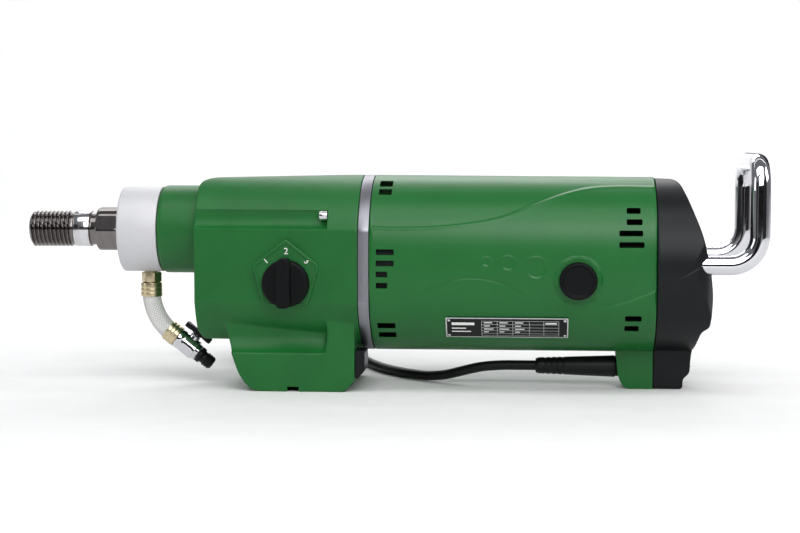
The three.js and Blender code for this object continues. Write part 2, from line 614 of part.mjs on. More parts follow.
// Air slots: four beside the flange and two more above and below them, and the same at the rear.
const frontSlots = [
  [47.5, 62.5, 119.9], [47.5, 62.5, 110.5], [47.5, 57, 101.3], [47.5, 57, 91.9],
  [47.5, 62.8, 57], [48, 63, 48.4], [47.6, 58.7, 169.2], [47.6, 58.7, 175.8],
];
const rearSlots = [
  [255.6, 267.2, 154.6], [255.5, 268.6, 145.5], [249.4, 269, 136.3], [249.4, 270.2, 126.8],
  [254.9, 268.6, 65], [254.7, 266.6, 56.2],
];
for (const side of [-1, 1]) {
  for (const [x0, x1, z] of [...frontSlots, ...rearSlots]) {
    const depth = z > 172 ? 78 : 60;
    const y0 = side > 0 ? 90 - depth : -90;
    housing = less(housing, box(x0, x1, y0, y0 + depth, z - 2.4, z + 2.4));
  }
  // Round seat and bore of the brush holder.
  const [boreFrom, boreTo] = side < 0 ? [-90, 0] : [0, 90];
  const bore = [[boreFrom, 0], [boreFrom, 13.4], [boreTo, 13.4], [boreTo, 0]];
  housing = less(housing, turnedY(bore, 20, brushX, brushZ));
  const [from, to] = side < 0 ? [-73, -66] : [66, 73];
  const seatRing = [[from, 13.4], [from, 20], [to, 20], [to, 13.4], [from, 13.4]];
  housing = housing.add(turnedY(seatRing, 20, brushX, brushZ));
}
housing = less(housing, rod(240, 320, 9, 12, 17.5));
add('motor_housing', housing, green);

// A carbon brush in its holder under a screwed lid, on both sides.
for (const side of [-1, 1]) {
  const tag = side < 0 ? 'near' : 'far';
  const y = (v) => side * v;
  const sideBox = (half, from, to, height) => {
    const ends = [y(from), y(to)];
    const [low, high] = [brushZ - height, brushZ + height];
    return box(brushX - half, brushX + half, Math.min(...ends), Math.max(...ends), low, high);
  };
  const turn = (profile, sides) => {
    const points = profile.map(([v, r]) => [y(v), r]);
    if (side < 0) points.reverse();
    return turnedY(points, sides, brushX, brushZ);
  };
  let cap = turn([[60, 0], [60, 12.9], [73.4, 12.9], [73.4, 15.8], [77.4, 15.8], [78.4, 14.6], [78.4, 0]], 24);
  cap = less(cap, sideBox(9, 76.6, 80, 1.5));
  add(`brush_cap_${tag}`, cap, black);
  const holder = less(turn([[24, 0], [24, 11], [59.6, 11], [59.6, 0]], 16), sideBox(6.3, 20, 65, 4.3));
  add(`brush_holder_${tag}`, holder, brass);
  add(`carbon_brush_${tag}`, sideBox(6, 19.4, 42, 4), carbon);
}

// Rating plate, bent round the lower side of the housing.
const plateAngle = -42;
const plateOutline = [
  ...arc(0, motorZ, bodyRadius + GAP, plateAngle - 9, plateAngle + 9, 4),
  ...arc(0, motorZ, bodyRadius + 1.3, plateAngle + 9, plateAngle - 9, 4),
];
add('rating_plate', pushed(plateOutline.map(([y, z]) => [-y, z]).reverse(), 'x', 105.5, 208), aluminium);

// ---- rear cap ----
const capSide = [
  [capX, 0], [306, 0], [306.5, 9], [312, 14], [313, 30], [319, 53], [325.5, 57], [capRearX, 83], [325.5, 105],
  [318, 136], [306.5, 166], [302, 176], [298, 179.6], [capX, 180.6],
];
const capPlan = [
  [capX, -75.4], [314, -75.2], [322, -71], [capRearX + 1, -58],
  [capRearX + 1, 58], [322, 71], [314, 75.2], [capX, 75.4],
];
const capBody = pushed(section(bodyRadius - 0.6, bodyRadius, 12), 'x', capX, capRearX + 1)
  .add(box(capX, 314, -footHalf, footHalf, 0, 40));
let rearCap = capBody.intersect(pushed(capSide, 'y', -90, 90)).intersect(pushed(capPlan, 'z', -10, 200));
rearCap = less(rearCap, rod(270, 296, 58, 32, motorZ));
const legSocket = (side) => rod(294, 400, handleTube + GAP, 16, handleLegZ, side * handleHalf);
const switchX = 313;
rearCap = less(rearCap, legSocket(-1), legSocket(1), box(299, 330, -10.3, 10.3, 13.7, 33));
add('rear_cap', rearCap, black);
const bridge = box(257, 276, -63, 63, motorZ - 18, motorZ + 18).intersect(rod(250, 280, 61.4, 24, motorZ));
add('bearing_bridge', less(bridge, rod(262, 280, 15, 16, motorZ), rod(250, 290, 8, 12, motorZ)), aluminium);
add('electronics_module', box(283, 295.7, -34, 34, 121, 148), black);

// ---- switch under the rear cap ----
add('switch_body', less(box(299.3, 312, -10, 10, 14, 32.7), box(304.5, 320, -7.4, 7.4, 16, 30.7)), black);
const rockerOutline = [[305.4, 17.2], [312.6, 17.2], [311.4, 23.3], [314.6, 29.4], [305.4, 29.4]];
add('switch_rocker', pushed(rockerOutline, 'y', -7, 7), black);

// ---- U-shaped carrying handle ----
function corner(center, u, v, radius, steps) {
  const points = [];
  for (let i = 0; i <= steps; i += 1) {
    const t = (Math.PI / 2) * (i / steps);
    const point = center.clone().addScaledVector(u, radius * Math.sin(t));
    points.push(point.addScaledVector(v, -radius * Math.cos(t)));
  }
  return points;
}
const X = new THREE.Vector3(1, 0, 0);
const Y = new THREE.Vector3(0, 1, 0);
const Z = new THREE.Vector3(0, 0, 1);
const lowBend = 24;
const topBend = 22;
const half1 = [
  new THREE.Vector3(294.4, -handleHalf, handleLegZ),
  ...corner(new THREE.Vector3(handleX - lowBend, -handleHalf, handleLegZ + lowBend), X, Z, lowBend, 5),
  ...corner(new THREE.Vector3(handleX, -handleHalf + topBend, handleTopZ - topBend), Z, Y, topBend, 5),
];
const handlePoints = [...half1, ...half1.map((p) => new THREE.Vector3(p.x, -p.y, p.z)).reverse()];
add('carrying_handle', tube(handlePoints, handleTube, 8, 48), chrome);

// ---- power cord ----
const cordZ = 17.5;
add('cord_boot', turned([
  [180.5, 0], [180.5, 6.2], [183, 7], [248.7, 9.4], [248.7, 8.6], [262, 8.6], [262, 0],
], 16, cordZ).subtract(rod(170, 181.5, cordRadius + GAP, 12, cordZ)), rubber);
// The turns lie in a neat ring, wound from the outside; its band holds them off the floor by its own thickness.
const coilZ = 1.6 + coilBundle;
const coilRing = [];
for (let i = 0; i <= 10; i += 1) {
  const t = (2 * Math.PI * i) / 10;
  coilRing.push(new THREE.Vector2(coilMean + coilBundle * Math.cos(t), coilBundle * Math.sin(t)));
}
const coilGeometry = new THREE.LatheGeometry(coilRing, 24);
coilGeometry.rotateX(Math.PI / 2);
coilGeometry.translate(coilX, coilY, coilZ);
add('cord_coil', toSolid(coilGeometry), rubber);
const cordRoute = [
  [181.2, 0, cordZ], [168, 0, cordZ], [150, 0, 17.3], [133, 1, 15.6],
  [117, 4, 11.6], [101, 11, 7], [85, 21, 4.8], [69, 35, 4.5],
  [56, 50, 4.5], [44, 68, 4.5], [34, 88, 4.5], [26, 108, 4.5], [19, 128, 4.5], [15, 145, 4.6], [13.6, 158, 5],
];
const routePoints = cordRoute.map(([x, y, z]) => new THREE.Vector3(x, y, z));
add('cord_run', smoothTube(routePoints, cordRadius, 8, 26), rubber);
const tieInner = coilBundle + 0.9;
const tieOuter = tieInner + 0.65;
const tie = turnedY([
  [coilY - 4, tieInner], [coilY - 4, tieOuter], [coilY + 4, tieOuter], [coilY + 4, tieInner], [coilY - 4, tieInner],
], 16, coilX - coilMean, coilZ);
add('cord_tie', tie, black);

// ---- mains plug, lying on the coil ----
const plugY = coilY + 34;
const plugRadius = 18;
const plugZ = coilZ + coilBundle + GAP + plugRadius;
const plugTailX = coilX + 0.5;
const plugFaceX = plugTailX - 73.5;
let plug = turned([
  [plugTailX, 0], [plugTailX, 6], [plugTailX - 25, 8.5], [plugTailX - 29, 12], [plugTailX - 52, 13],
  [plugTailX - 58, plugRadius], [plugFaceX, plugRadius], [plugFaceX, 0],
], 16, plugZ, plugY);
for (const side of [-1, 1]) {
  plug = plug.add(rod(plugFaceX - 19, plugFaceX + 5, 2.4, 8, plugZ, plugY + side * 9.5));
}
plug = less(plug, rod(plugTailX - 6, plugTailX + 5, cordRadius + GAP, 12, plugZ, plugY));
add('cord_plug', plug, rubber);

export default rig;
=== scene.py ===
import bpy
import bmesh
import json
import math
from mathutils import Matrix, Vector


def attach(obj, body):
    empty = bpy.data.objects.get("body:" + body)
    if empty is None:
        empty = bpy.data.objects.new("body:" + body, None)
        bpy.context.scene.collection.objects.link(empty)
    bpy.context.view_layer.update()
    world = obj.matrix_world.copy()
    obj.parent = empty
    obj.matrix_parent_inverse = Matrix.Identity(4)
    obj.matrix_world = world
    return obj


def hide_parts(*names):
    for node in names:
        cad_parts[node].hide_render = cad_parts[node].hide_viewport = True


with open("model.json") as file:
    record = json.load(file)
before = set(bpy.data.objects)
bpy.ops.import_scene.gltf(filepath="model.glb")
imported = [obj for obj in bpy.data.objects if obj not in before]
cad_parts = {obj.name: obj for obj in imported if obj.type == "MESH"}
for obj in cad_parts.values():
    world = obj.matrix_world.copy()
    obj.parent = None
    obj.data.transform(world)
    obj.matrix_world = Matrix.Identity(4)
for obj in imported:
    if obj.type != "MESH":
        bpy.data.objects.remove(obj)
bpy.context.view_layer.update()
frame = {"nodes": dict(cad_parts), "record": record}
for name in ("Cube", "Light", "Camera"):
    if name in bpy.data.objects:
        bpy.data.objects.remove(bpy.data.objects[name])
MM = 0.001
PI = math.pi

# ---------------------------------------------------------------- camera
AIM = Vector((0.062, 0.0, 0.103))
AZ, EL, FAR = math.radians(4.7), math.radians(4.1), 1.6
camera = bpy.data.objects.new("camera", bpy.data.cameras.new("camera"))
bpy.context.scene.collection.objects.link(camera)
away = Vector((math.sin(AZ) * math.cos(EL), -math.cos(AZ) * math.cos(EL), math.sin(EL)))
camera.location = AIM + FAR * away
camera.rotation_euler = (-away).to_track_quat("-Z", "Y").to_euler()
camera.data.sensor_width = 36
camera.data.lens = 82.5
camera.data.clip_end = 20
camera.data.dof.use_dof = False
bpy.context.scene.camera = camera

# ---------------------------------------------------------------- materials
def material(name, color, rough, metal=0.0, grain=700.0, bump=0.02, vary=0.06, rough_vary=0.05,
             spec=0.36, stretch=(1, 1, 1)):
    """A finish with fine relief, and colour and gloss that drift a little over the surface."""
    m = bpy.data.materials.new(name)
    m.use_nodes = True
    nt = m.node_tree
    bsdf = nt.nodes["Principled BSDF"]
    bsdf.inputs["Metallic"].default_value = metal
    bsdf.inputs["Specular IOR Level"].default_value = spec
    where = nt.nodes.new("ShaderNodeTexCoord")
    scale = nt.nodes.new("ShaderNodeMapping")
    scale.inputs["Scale"].default_value = stretch
    nt.links.new(where.outputs["Object"], scale.inputs["Vector"])
    fine = nt.nodes.new("ShaderNodeTexNoise")
    fine.inputs["Scale"].default_value = grain
    fine.inputs["Detail"].default_value = 4
    broad = nt.nodes.new("ShaderNodeTexNoise")
    broad.inputs["Scale"].default_value = 28
    broad.inputs["Detail"].default_value = 5
    for n in (fine, broad):
        nt.links.new(scale.outputs["Vector"], n.inputs["Vector"])
    mix = nt.nodes.new("ShaderNodeMix")
    mix.data_type = "RGBA"
    dark = [c * (1 - 2.2 * vary) for c in color]
    mix.inputs[6].default_value = (*dark, 1)
    mix.inputs[7].default_value = (*[min(1, c * (1 + vary)) for c in color], 1)
    ramp = nt.nodes.new("ShaderNodeMapRange")
    ramp.inputs["From Min"].default_value = 0.25
    ramp.inputs["From Max"].default_value = 0.65
    nt.links.new(broad.outputs["Fac"], ramp.inputs["Value"])
    nt.links.new(ramp.outputs["Result"], mix.inputs[0])
    nt.links.new(mix.outputs[2], bsdf.inputs["Base Color"])
    gloss = nt.nodes.new("ShaderNodeMapRange")
    gloss.inputs["To Min"].default_value = max(0.01, rough - rough_vary)
    gloss.inputs["To Max"].default_value = rough + rough_vary
    nt.links.new(fine.outputs["Fac"], gloss.inputs["Value"])
    nt.links.new(gloss.outputs["Result"], bsdf.inputs["Roughness"])
    relief = nt.nodes.new("ShaderNodeBump")
    relief.inputs["Strength"].default_value = 1.0
    relief.inputs["Distance"].default_value = bump * MM
    nt.links.new(fine.outputs["Fac"], relief.inputs["Height"])
    nt.links.new(relief.outputs["Normal"], bsdf.inputs["Normal"])
    return m


GREEN = (0.0045, 0.110, 0.0175)
MATERIALS = {
    "painted_casting": material("green_cast_paint", GREEN, 0.44, grain=420, bump=0.05, vary=0.05),
    "painted_housing": material("green_housing_paint", GREEN, 0.36, grain=600, bump=0.012, vary=0.03),
    "black_plastic": material("black_moulding", (0.005, 0.006, 0.007), 0.38, grain=1500, bump=0.02, vary=0.1,
                              spec=0.2),
    "rubber": material("black_rubber", (0.007, 0.008, 0.008), 0.42, grain=900, bump=0.02, vary=0.1,
                       spec=0.25),
    "machined_steel": material("turned_steel", (0.20, 0.185, 0.18), 0.17, 1.0, grain=260, bump=0.006,
                               stretch=(14, 1, 1)),
    "bearing_steel": material("ground_steel", (0.66, 0.66, 0.68), 0.14, 1.0, grain=300, bump=0.004,
                              stretch=(8, 1, 1)),
    "aluminium": material("satin_aluminium", (0.25, 0.25, 0.28), 0.40, 1.0, grain=500, bump=0.008,
                          stretch=(6, 1, 1), vary=0.02),
    "chromed": material("chrome_plate", (0.66, 0.66, 0.69), 0.05, 1.0, grain=60, bump=0.002, vary=0.01,
                        rough_vary=0.01),
    "brass": material("turned_brass", (0.62, 0.53, 0.34), 0.30, 1.0, grain=300, bump=0.005,
                      stretch=(1, 1, 8)),
    "electrical_steel": material("laminated_core", (0.22, 0.21, 0.21), 0.5, 1.0, grain=120, bump=0.05,
                                 stretch=(30, 1, 1)),
    "copper": material("copper_segments", (0.80, 0.40, 0.25), 0.35, 1.0, grain=200, bump=0.01),
    "carbon": material("pressed_carbon", (0.02, 0.02, 0.02), 0.6, grain=1500, bump=0.02),
}


def hose_material():
    """Clear plastic over a crossed white braid."""
    m = material("clear_braided_hose", (0.74, 0.73, 0.69), 0.16, grain=300, bump=0.004, vary=0.03)
    nt = m.node_tree
    bsdf = nt.nodes["Principled BSDF"]
    bsdf.inputs["Transmission Weight"].default_value = 0.35
    bsdf.inputs["IOR"].default_value = 1.45
    where = nt.nodes.new("ShaderNodeUVMap")
    where.uv_map = "along"
    total = None
    for angle in (0.72, -0.72):
        turn = nt.nodes.new("ShaderNodeMapping")
        turn.inputs["Rotation"].default_value = (0, 0, angle)
        nt.links.new(where.outputs["UV"], turn.inputs["Vector"])
        wave = nt.nodes.new("ShaderNodeTexWave")
        wave.wave_type = "BANDS"
        wave.inputs["Scale"].default_value = 1.6
        nt.links.new(turn.outputs["Vector"], wave.inputs["Vector"])
        cut = nt.nodes.new("ShaderNodeMapRange")
        cut.inputs["From Min"].default_value = 0.80
        cut.inputs["From Max"].default_value = 0.97
        nt.links.new(wave.outputs["Fac"], cut.inputs["Value"])
        if total is None:
            total = cut.outputs["Result"]
        else:
            most = nt.nodes.new("ShaderNodeMath")
            most.operation = "MAXIMUM"
            nt.links.new(total, most.inputs[0])
            nt.links.new(cut.outputs["Result"], most.inputs[1])
            total = most.outputs[0]
    mix = nt.nodes.new("ShaderNodeMix")
    mix.data_type = "RGBA"
    mix.inputs[6].default_value = (0.60, 0.60, 0.58, 1)
    mix.inputs[7].default_value = (0.95, 0.95, 0.93, 1)
    nt.links.new(total, mix.inputs[0])
    nt.links.new(mix.outputs[2], bsdf.inputs["Base Color"])
    return m


MATERIALS["hose_plastic"] = hose_material()
MATT_BLACK = material("matt_black_moulding", (0.0035, 0.004, 0.0045), 0.46, grain=1500, bump=0.02, vary=0.1,
                      spec=0.12)
WHITE_INK = material("white_ink", (0.82, 0.82, 0.80), 0.5, bump=0.004, vary=0.02)
PLATE_BLACK = material("plate_black", (0.009, 0.009, 0.010), 0.38, bump=0.006, vary=0.1, spec=0.18)
PLATE_SILVER = material("plate_silver", (0.72, 0.72, 0.74), 0.3, 1.0, bump=0.004, vary=0.04)
COLLAR_FINISH = material("blasted_aluminium", (0.58, 0.58, 0.60), 0.55, 0.3, grain=900, bump=0.02, vary=0.03)
# Painted shade: a near-black finish for the sleeves behind the vents, where the inside of the housing is
# only in shade.
SHADE_BLACK = material("painted_shade_black", (0.006, 0.006, 0.007), 0.7, grain=600, bump=0.02, vary=0.1)

# ---------------------------------------------------------------- building blocks
def piece(name, verts, faces, slot, body="machine", replaces=(), finish=None, angle=35):
    """A finished piece of the machine, from points in millimetres."""
    me = bpy.data.meshes.new(name)
    me.from_pydata([tuple(c * MM for c in v) for v in verts], [], faces)
    me.validate()
    bm = bmesh.new()
    bm.from_mesh(me)
    bmesh.ops.remove_doubles(bm, verts=bm.verts, dist=1e-6)
    bmesh.ops.recalc_face_normals(bm, faces=bm.faces)
    bm.to_mesh(me)
    bm.free()
    o = bpy.data.objects.new(name, me)
    bpy.context.scene.collection.objects.link(o)
    dress(o, slot, body, replaces, finish, angle)
    return o


def dress(o, slot, body, replaces=(), finish=None, angle=35):
    """Shading, finish, and the body that the piece moves with."""
    if o.type == "MESH":
        if angle is None:
            o.data.shade_flat()
        else:
            o.data.shade_smooth()
            o.data.set_sharp_from_angle(angle=math.radians(angle))
        o.data.materials.clear()
    o.data.materials.append(finish or MATERIALS[slot])
    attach(o, body)
    if replaces:
        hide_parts(*replaces)
    return o


def soften(o, width, segments=3, angle=32):
    """Rounds the edges that are sharper than `angle`."""
    b = o.modifiers.new("edges", "BEVEL")
    b.width = width * MM
    b.segments = segments
    b.limit_method = "ANGLE"
    b.angle_limit = math.radians(angle)
    b.harden_normals = False
    return o


def bake(o):
    """Turns the modifiers into mesh."""
    dg = bpy.context.evaluated_depsgraph_get()
    me = bpy.data.meshes.new_from_object(o.evaluated_get(dg))
    o.modifiers.clear()
    o.data = me
    return o


def loose(name, verts, faces):
    """A mesh object that isn't a piece yet, in millimetres."""
    me = bpy.data.meshes.new(name)
    me.from_pydata([tuple(c * MM for c in v) for v in verts], [], faces)
    bm = bmesh.new()
    bm.from_mesh(me)
    bmesh.ops.remove_doubles(bm, verts=bm.verts, dist=1e-7)
    bmesh.ops.recalc_face_normals(bm, faces=bm.faces)
    bm.to_mesh(me)
    bm.free()
    o = bpy.data.objects.new(name, me)
    bpy.context.scene.collection.objects.link(o)
    return o


def cut(o, tools, how="DIFFERENCE"):
    """Takes the tools away from o, or adds or intersects them, and removes them."""
    for t in tools:
        b = o.modifiers.new("cut", "BOOLEAN")
        b.operation = how
        b.solver = "EXACT"
        b.object = t
        bake(o)
        bpy.data.objects.remove(t)
    return o


def remesh(o, voxel, smooth):
    """Gives a cast or moulded piece its soft edges."""
    m = o.modifiers.new("skin", "REMESH")
    m.mode = "VOXEL"
    m.voxel_size = voxel * MM
    m.use_smooth_shade = True
    if smooth:
        s = o.modifiers.new("soft", "SMOOTH")
        s.factor = 0.5
        s.iterations = smooth
    return bake(o)


def grid(rows, closed_v=False, cap=False):
    """Faces over rows of points; rows run along u, the points of a row along v."""
    nu, nv = len(rows), len(rows[0])
    verts = [p for r in rows for p in r]
    faces = []
    for i in range(nu - 1):
        for j in range(nv if closed_v else nv - 1):
            a, b = i * nv + j, i * nv + (j + 1) % nv
            c, d = (i + 1) * nv + (j + 1) % nv, (i + 1) * nv + j
            faces.append((a, b, c, d))
    if cap:
        faces.append(tuple(range(nv)))
        faces.append(tuple((nu - 1) * nv + j for j in range(nv)))
    return verts, faces


def lathe(profile, n=64, at=(0, 0, 0), axis=(1, 0, 0), up=(0, 0, 1)):
    """Turns [distance along the axis, radius] pairs; the profile closes on itself or ends on the axis."""
    a = Vector(axis).normalized()
    u = (Vector(up) - a * Vector(up).dot(a)).normalized()
    w = a.cross(u)
    c = Vector(at)
    rows = []
    for d, r in profile:
        rows.append([c + a * d + (u * math.cos(t) + w * math.sin(t)) * max(r, 1e-5)
                     for t in (2 * PI * k / n for k in range(n))])
    return grid(rows, closed_v=True)


def rounded(profile, radius, steps=3, closed=True):
    """Rounds the corners of an outline."""
    out, n = [], len(profile)
    for i, p in enumerate(profile):
        p = Vector(p)
        if not closed and i in (0, n - 1):
            out.append(tuple(p))
            continue
        a, b = Vector(profile[i - 1]) - p, Vector(profile[(i + 1) % n]) - p
        r = radius[i] if isinstance(radius, (list, tuple)) else radius
        r = min(r, a.length * 0.45, b.length * 0.45)
        if r < 1e-4 or a.length < 1e-6 or b.length < 1e-6:
            out.append(tuple(p))
            continue
        start, end = p + a.normalized() * r, p + b.normalized() * r
        for k in range(steps + 1):
            t = k / steps
            out.append(tuple((1 - t) ** 2 * start + 2 * t * (1 - t) * p + t * t * end))
    return out


def turned(name, profile, slot, body="machine", replaces=(), n=64, at=(0, 0, 0), axis=(1, 0, 0),
           up=(0, 0, 1), r=0.4, finish=None, angle=35):
    closed = Vector(profile[0]) == Vector(profile[-1])
    ring = profile[:-1] if closed else profile
    pts = rounded(ring, r, closed=closed)
    if closed:
        pts = pts + [pts[0]]
    verts, faces = lathe(pts, n, at, axis, up)
    return piece(name, verts, faces, slot, body, replaces, finish, angle)


def block(x0, x1, y0, y1, z0, z1):
    """A box between two corners."""
    v = [(x, y, z) for x in (x0, x1) for y in (y0, y1) for z in (z0, z1)]
    f = [(0, 1, 3, 2), (4, 6, 7, 5), (0, 4, 5, 1), (2, 3, 7, 6), (0, 2, 6, 4), (1, 5, 7, 3)]
    return v, f


def prism(outline, axis, low, high):
    """An outline pushed along an axis; outline is (y, z) for x, (x, z) for y and (x, y) for z."""
    put = {"x": lambda p, d: (d, p[0], p[1]), "y": lambda p, d: (p[0], d, p[1]), "z": lambda p,
           d: (p[0], p[1], d)}[axis]
    return grid([[put(p, d) for p in outline] for d in (low, high)], closed_v=True, cap=True)


def joined(*parts):
    """Several forms as one mesh."""
    verts, faces = [], []
    for v, f in parts:
        n = len(verts)
        verts += list(v)
        faces += [tuple(i + n for i in q) for q in f]
    return verts, faces


def sweep(points, radius, n=24):
    """A round tube along a line, without twist."""
    pts = [Vector(p) for p in points]
    rows, u = [], None
    for i, p in enumerate(pts):
        t = (pts[min(i + 1, len(pts) - 1)] - pts[max(i - 1, 0)]).normalized()
        if u is None:
            u = t.orthogonal().normalized()
        u = (u - t * u.dot(t)).normalized()
        w = t.cross(u)
        rows.append([p + (u * math.cos(a) + w * math.sin(a)) * radius
                     for a in (2 * PI * k / n for k in range(n))])
    return grid(rows, closed_v=True, cap=True)


def smooth_line(points, step):
    """Points a step apart on a smooth curve through the given ones."""
    pts = [Vector(p) for p in points]
    pts = [2 * pts[0] - pts[1]] + pts + [2 * pts[-1] - pts[-2]]
    out = []
    for i in range(1, len(pts) - 2):
        a, b, c, d = pts[i - 1:i + 3]
        n = max(2, int((c - b).length / step))
        for k in range(n):
            t = k / n
            square, cube = 2 * a - 5 * b + 4 * c - d, 3 * b - a - 3 * c + d
            out.append(0.5 * ((2 * b) + (c - a) * t + square * t * t + cube * t ** 3))
    out.append(pts[-2])
    return out


def step(a, b, x):
    """Rises smoothly from 0 at a to 1 at b."""
    t = min(1, max(0, (x - a) / (b - a)))
    return t * t * (3 - 2 * t)


def along(table, x):
    """The value at x on straight stretches between [x, value] pairs."""
    if x <= table[0][0]:
        return table[0][1]
    for (a, va), (b, vb) in zip(table, table[1:]):
        if x <= b:
            return va + (vb - va) * (x - a) / (b - a)
    return table[-1][1]


def smooth_max(a, b, k):
    h = max(k - abs(a - b), 0) / k
    return max(a, b) + h * h * k * 0.25


def smooth_min(a, b, k):
    return -smooth_max(-a, -b, k)


# ---------------------------------------------------------------- shared dimensions, in millimetres
MOTOR_Z, SPINDLE_Z = 107, 135
TIP, COLLAR_FRONT, COLLAR_BACK = -264, -181, -146.3
BOX_FRONT, BOX_REAR = -110, 31.7
R_BODY, SIDE, SIDE_FRONT = 76, 69.5, 53
FLANGE, MOTOR, MOTOR_REAR, CAP = 32, 41.6, 280.7, 281
FOOT = 17
GROOVE_Y, GROOVE_Z = 69.3, 149.7
SCREW_Y = 60.5
HANDLE_Y, HANDLE_Z = 65.5, 110
CORD_Z = 17.5
KNOB = (-29, 92.9)
BRUSH = (216, 97)

# ---------------------------------------------------------------- drill spindle
def spindle():
    n = 96
    band = [(-224.2, 15.0), (-224.2, 15.6), (-223.9, 15.76), (-210.9, 15.76), (-210.6, 15.6), (-210.6, 15.0)]
    piece("spindle_ground_band", *lathe(band + band[:1], 96, (0, 0, SPINDLE_Z)), "bearing_steel",
          "drill_spindle")
    pitch, crest, root = 3.63, 15.87, 13.75
    xs = [TIP + 0.22 * i for i in range(int(39.0 / 0.22))]
    xs += [TIP + 39.4, -224, -219, -213, -210.6, -210.2, -209.7, -209.3, -208.6, -205.2, -204.4]
    xs += [-204.05, -203.95, -203.4, -202.7, -200, -196, -192, -188, -184.9, -184.1, -183.6, -183.4, -182.5]
    def radius(x, t):
        if x < TIP + 39.2:
            phase = ((x - TIP) / pitch - t / (2 * PI)) % 1
            v = abs(2 * phase - 1)
            ridge = min(1, max(0, (v - 0.09) / 0.80))
            fade = 1 - step(TIP + 35.0, TIP + 38.4, x)
            runout = (15.55 - root) * (1 - fade) * step(TIP + 38.2, TIP + 39.2, x)
            r = root + (crest - root) * ridge * fade + runout
            return min(r, 12.9 + 1.25 * (x - TIP))
        if x < -210.5:
            return 15.65
        if x < -204:
            return 14.3 + max(0, (-209.6 - x)) * 1.4
        if x < -183.5:
            edge = min(1, (x + 204.05) / 1.2, (-183.45 - x) / 1.2)
            a = (t - math.radians(10)) % (PI / 3) - PI / 6
            return min(18 / math.cos(a), 19.25 - 1.1 * (1 - max(0, edge)))
        return 17
    rows = []
    for x in xs:
        turn = [2 * PI * k / n for k in range(n)]
        rows.append([(x, radius(x, t) * math.cos(t), SPINDLE_Z + radius(x, t) * math.sin(t)) for t in turn])
    def ring(x, r):
        return [(x, r * math.cos(2 * PI * k / n), SPINDLE_Z + r * math.sin(2 * PI * k / n))
                for k in range(n)]
    head = [ring(-200, 6.5), ring(TIP + 0.8, 6.5), ring(TIP + 0.2, 6.9), ring(TIP, 7.4), ring(TIP, 12.6)]
    tail = [ring(-112, 17), ring(-112, 16), ring(-8.3, 16), ring(-8.3, 12.5), ring(3.2, 12.5),
            ring(3.2, 0.01)]
    verts, faces = grid(head + rows + tail, closed_v=True)
    return piece("spindle_turned", verts, faces, "machined_steel", "drill_spindle", ["spindle"], angle=40)


spindle()

# ---------------------------------------------------------------- water collar
def collar():
    profile = [(COLLAR_FRONT, 30), (COLLAR_FRONT, 36.3), (COLLAR_FRONT + 1.0, 37.3),
               (COLLAR_BACK - 0.4, 37.3), (COLLAR_BACK, 36.9),
               (COLLAR_BACK, 27.3), (-152, 27.3), (-152, 21), (-164, 21), (-164, 30), (COLLAR_FRONT, 30)]
    turned("collar_ring", profile, "aluminium", replaces=["water_collar"], n=128, at=(0, 0, SPINDLE_Z),
           r=0.8, finish=COLLAR_FINISH)
    turned("collar_end_ring",
           [(-180.6, 20.2), (-180.6, 29.6), (-177.4, 29.6), (-177.4, 20.2), (-180.6, 20.2)], "bearing_steel",
           replaces=["collar_cover"], n=96, at=(0, 0, SPINDLE_Z), r=0.5)


collar()

# ---------------------------------------------------------------- green gearbox casting
def section(radius, half, n):
    """Round outline with a flat on both sides, as (y, z)."""
    out = []
    for k in range(n):
        t = 2 * PI * k / n
        y, h = radius * math.cos(t), radius * math.sin(t)
        out.append((max(-half, min(half, y)), MOTOR_Z + h))
    return out


def narrowing(x):
    """How much of the full width the gearbox has at x."""
    return 1 - ((BOX_REAR - x) / (BOX_REAR - BOX_FRONT)) * (1 - SIDE_FRONT / SIDE)


def casting_body(radius, half, x0, x1, n=120, parts=24, shrink=0.0):
    rows = []
    for i in range(parts + 1):
        x = x0 + (x1 - x0) * i / parts
        s = narrowing(x) - shrink
        rows.append([(x, y * s, z) for y, z in section(radius, half, n)])
    return grid(rows, closed_v=True, cap=True)


def groove_rod(side, radius, x0, x1, n=24, parts=12):
    rows = []
    for i in range(parts + 1):
        x = x0 + (x1 - x0) * i / parts
        s = narrowing(x)
        rows.append([(x, (side * GROOVE_Y + radius * math.cos(2 * PI * k / n)) * s,
                      GROOVE_Z + radius * math.sin(2 * PI * k / n)) for k in range(n)])
    return grid(rows, closed_v=True, cap=True)


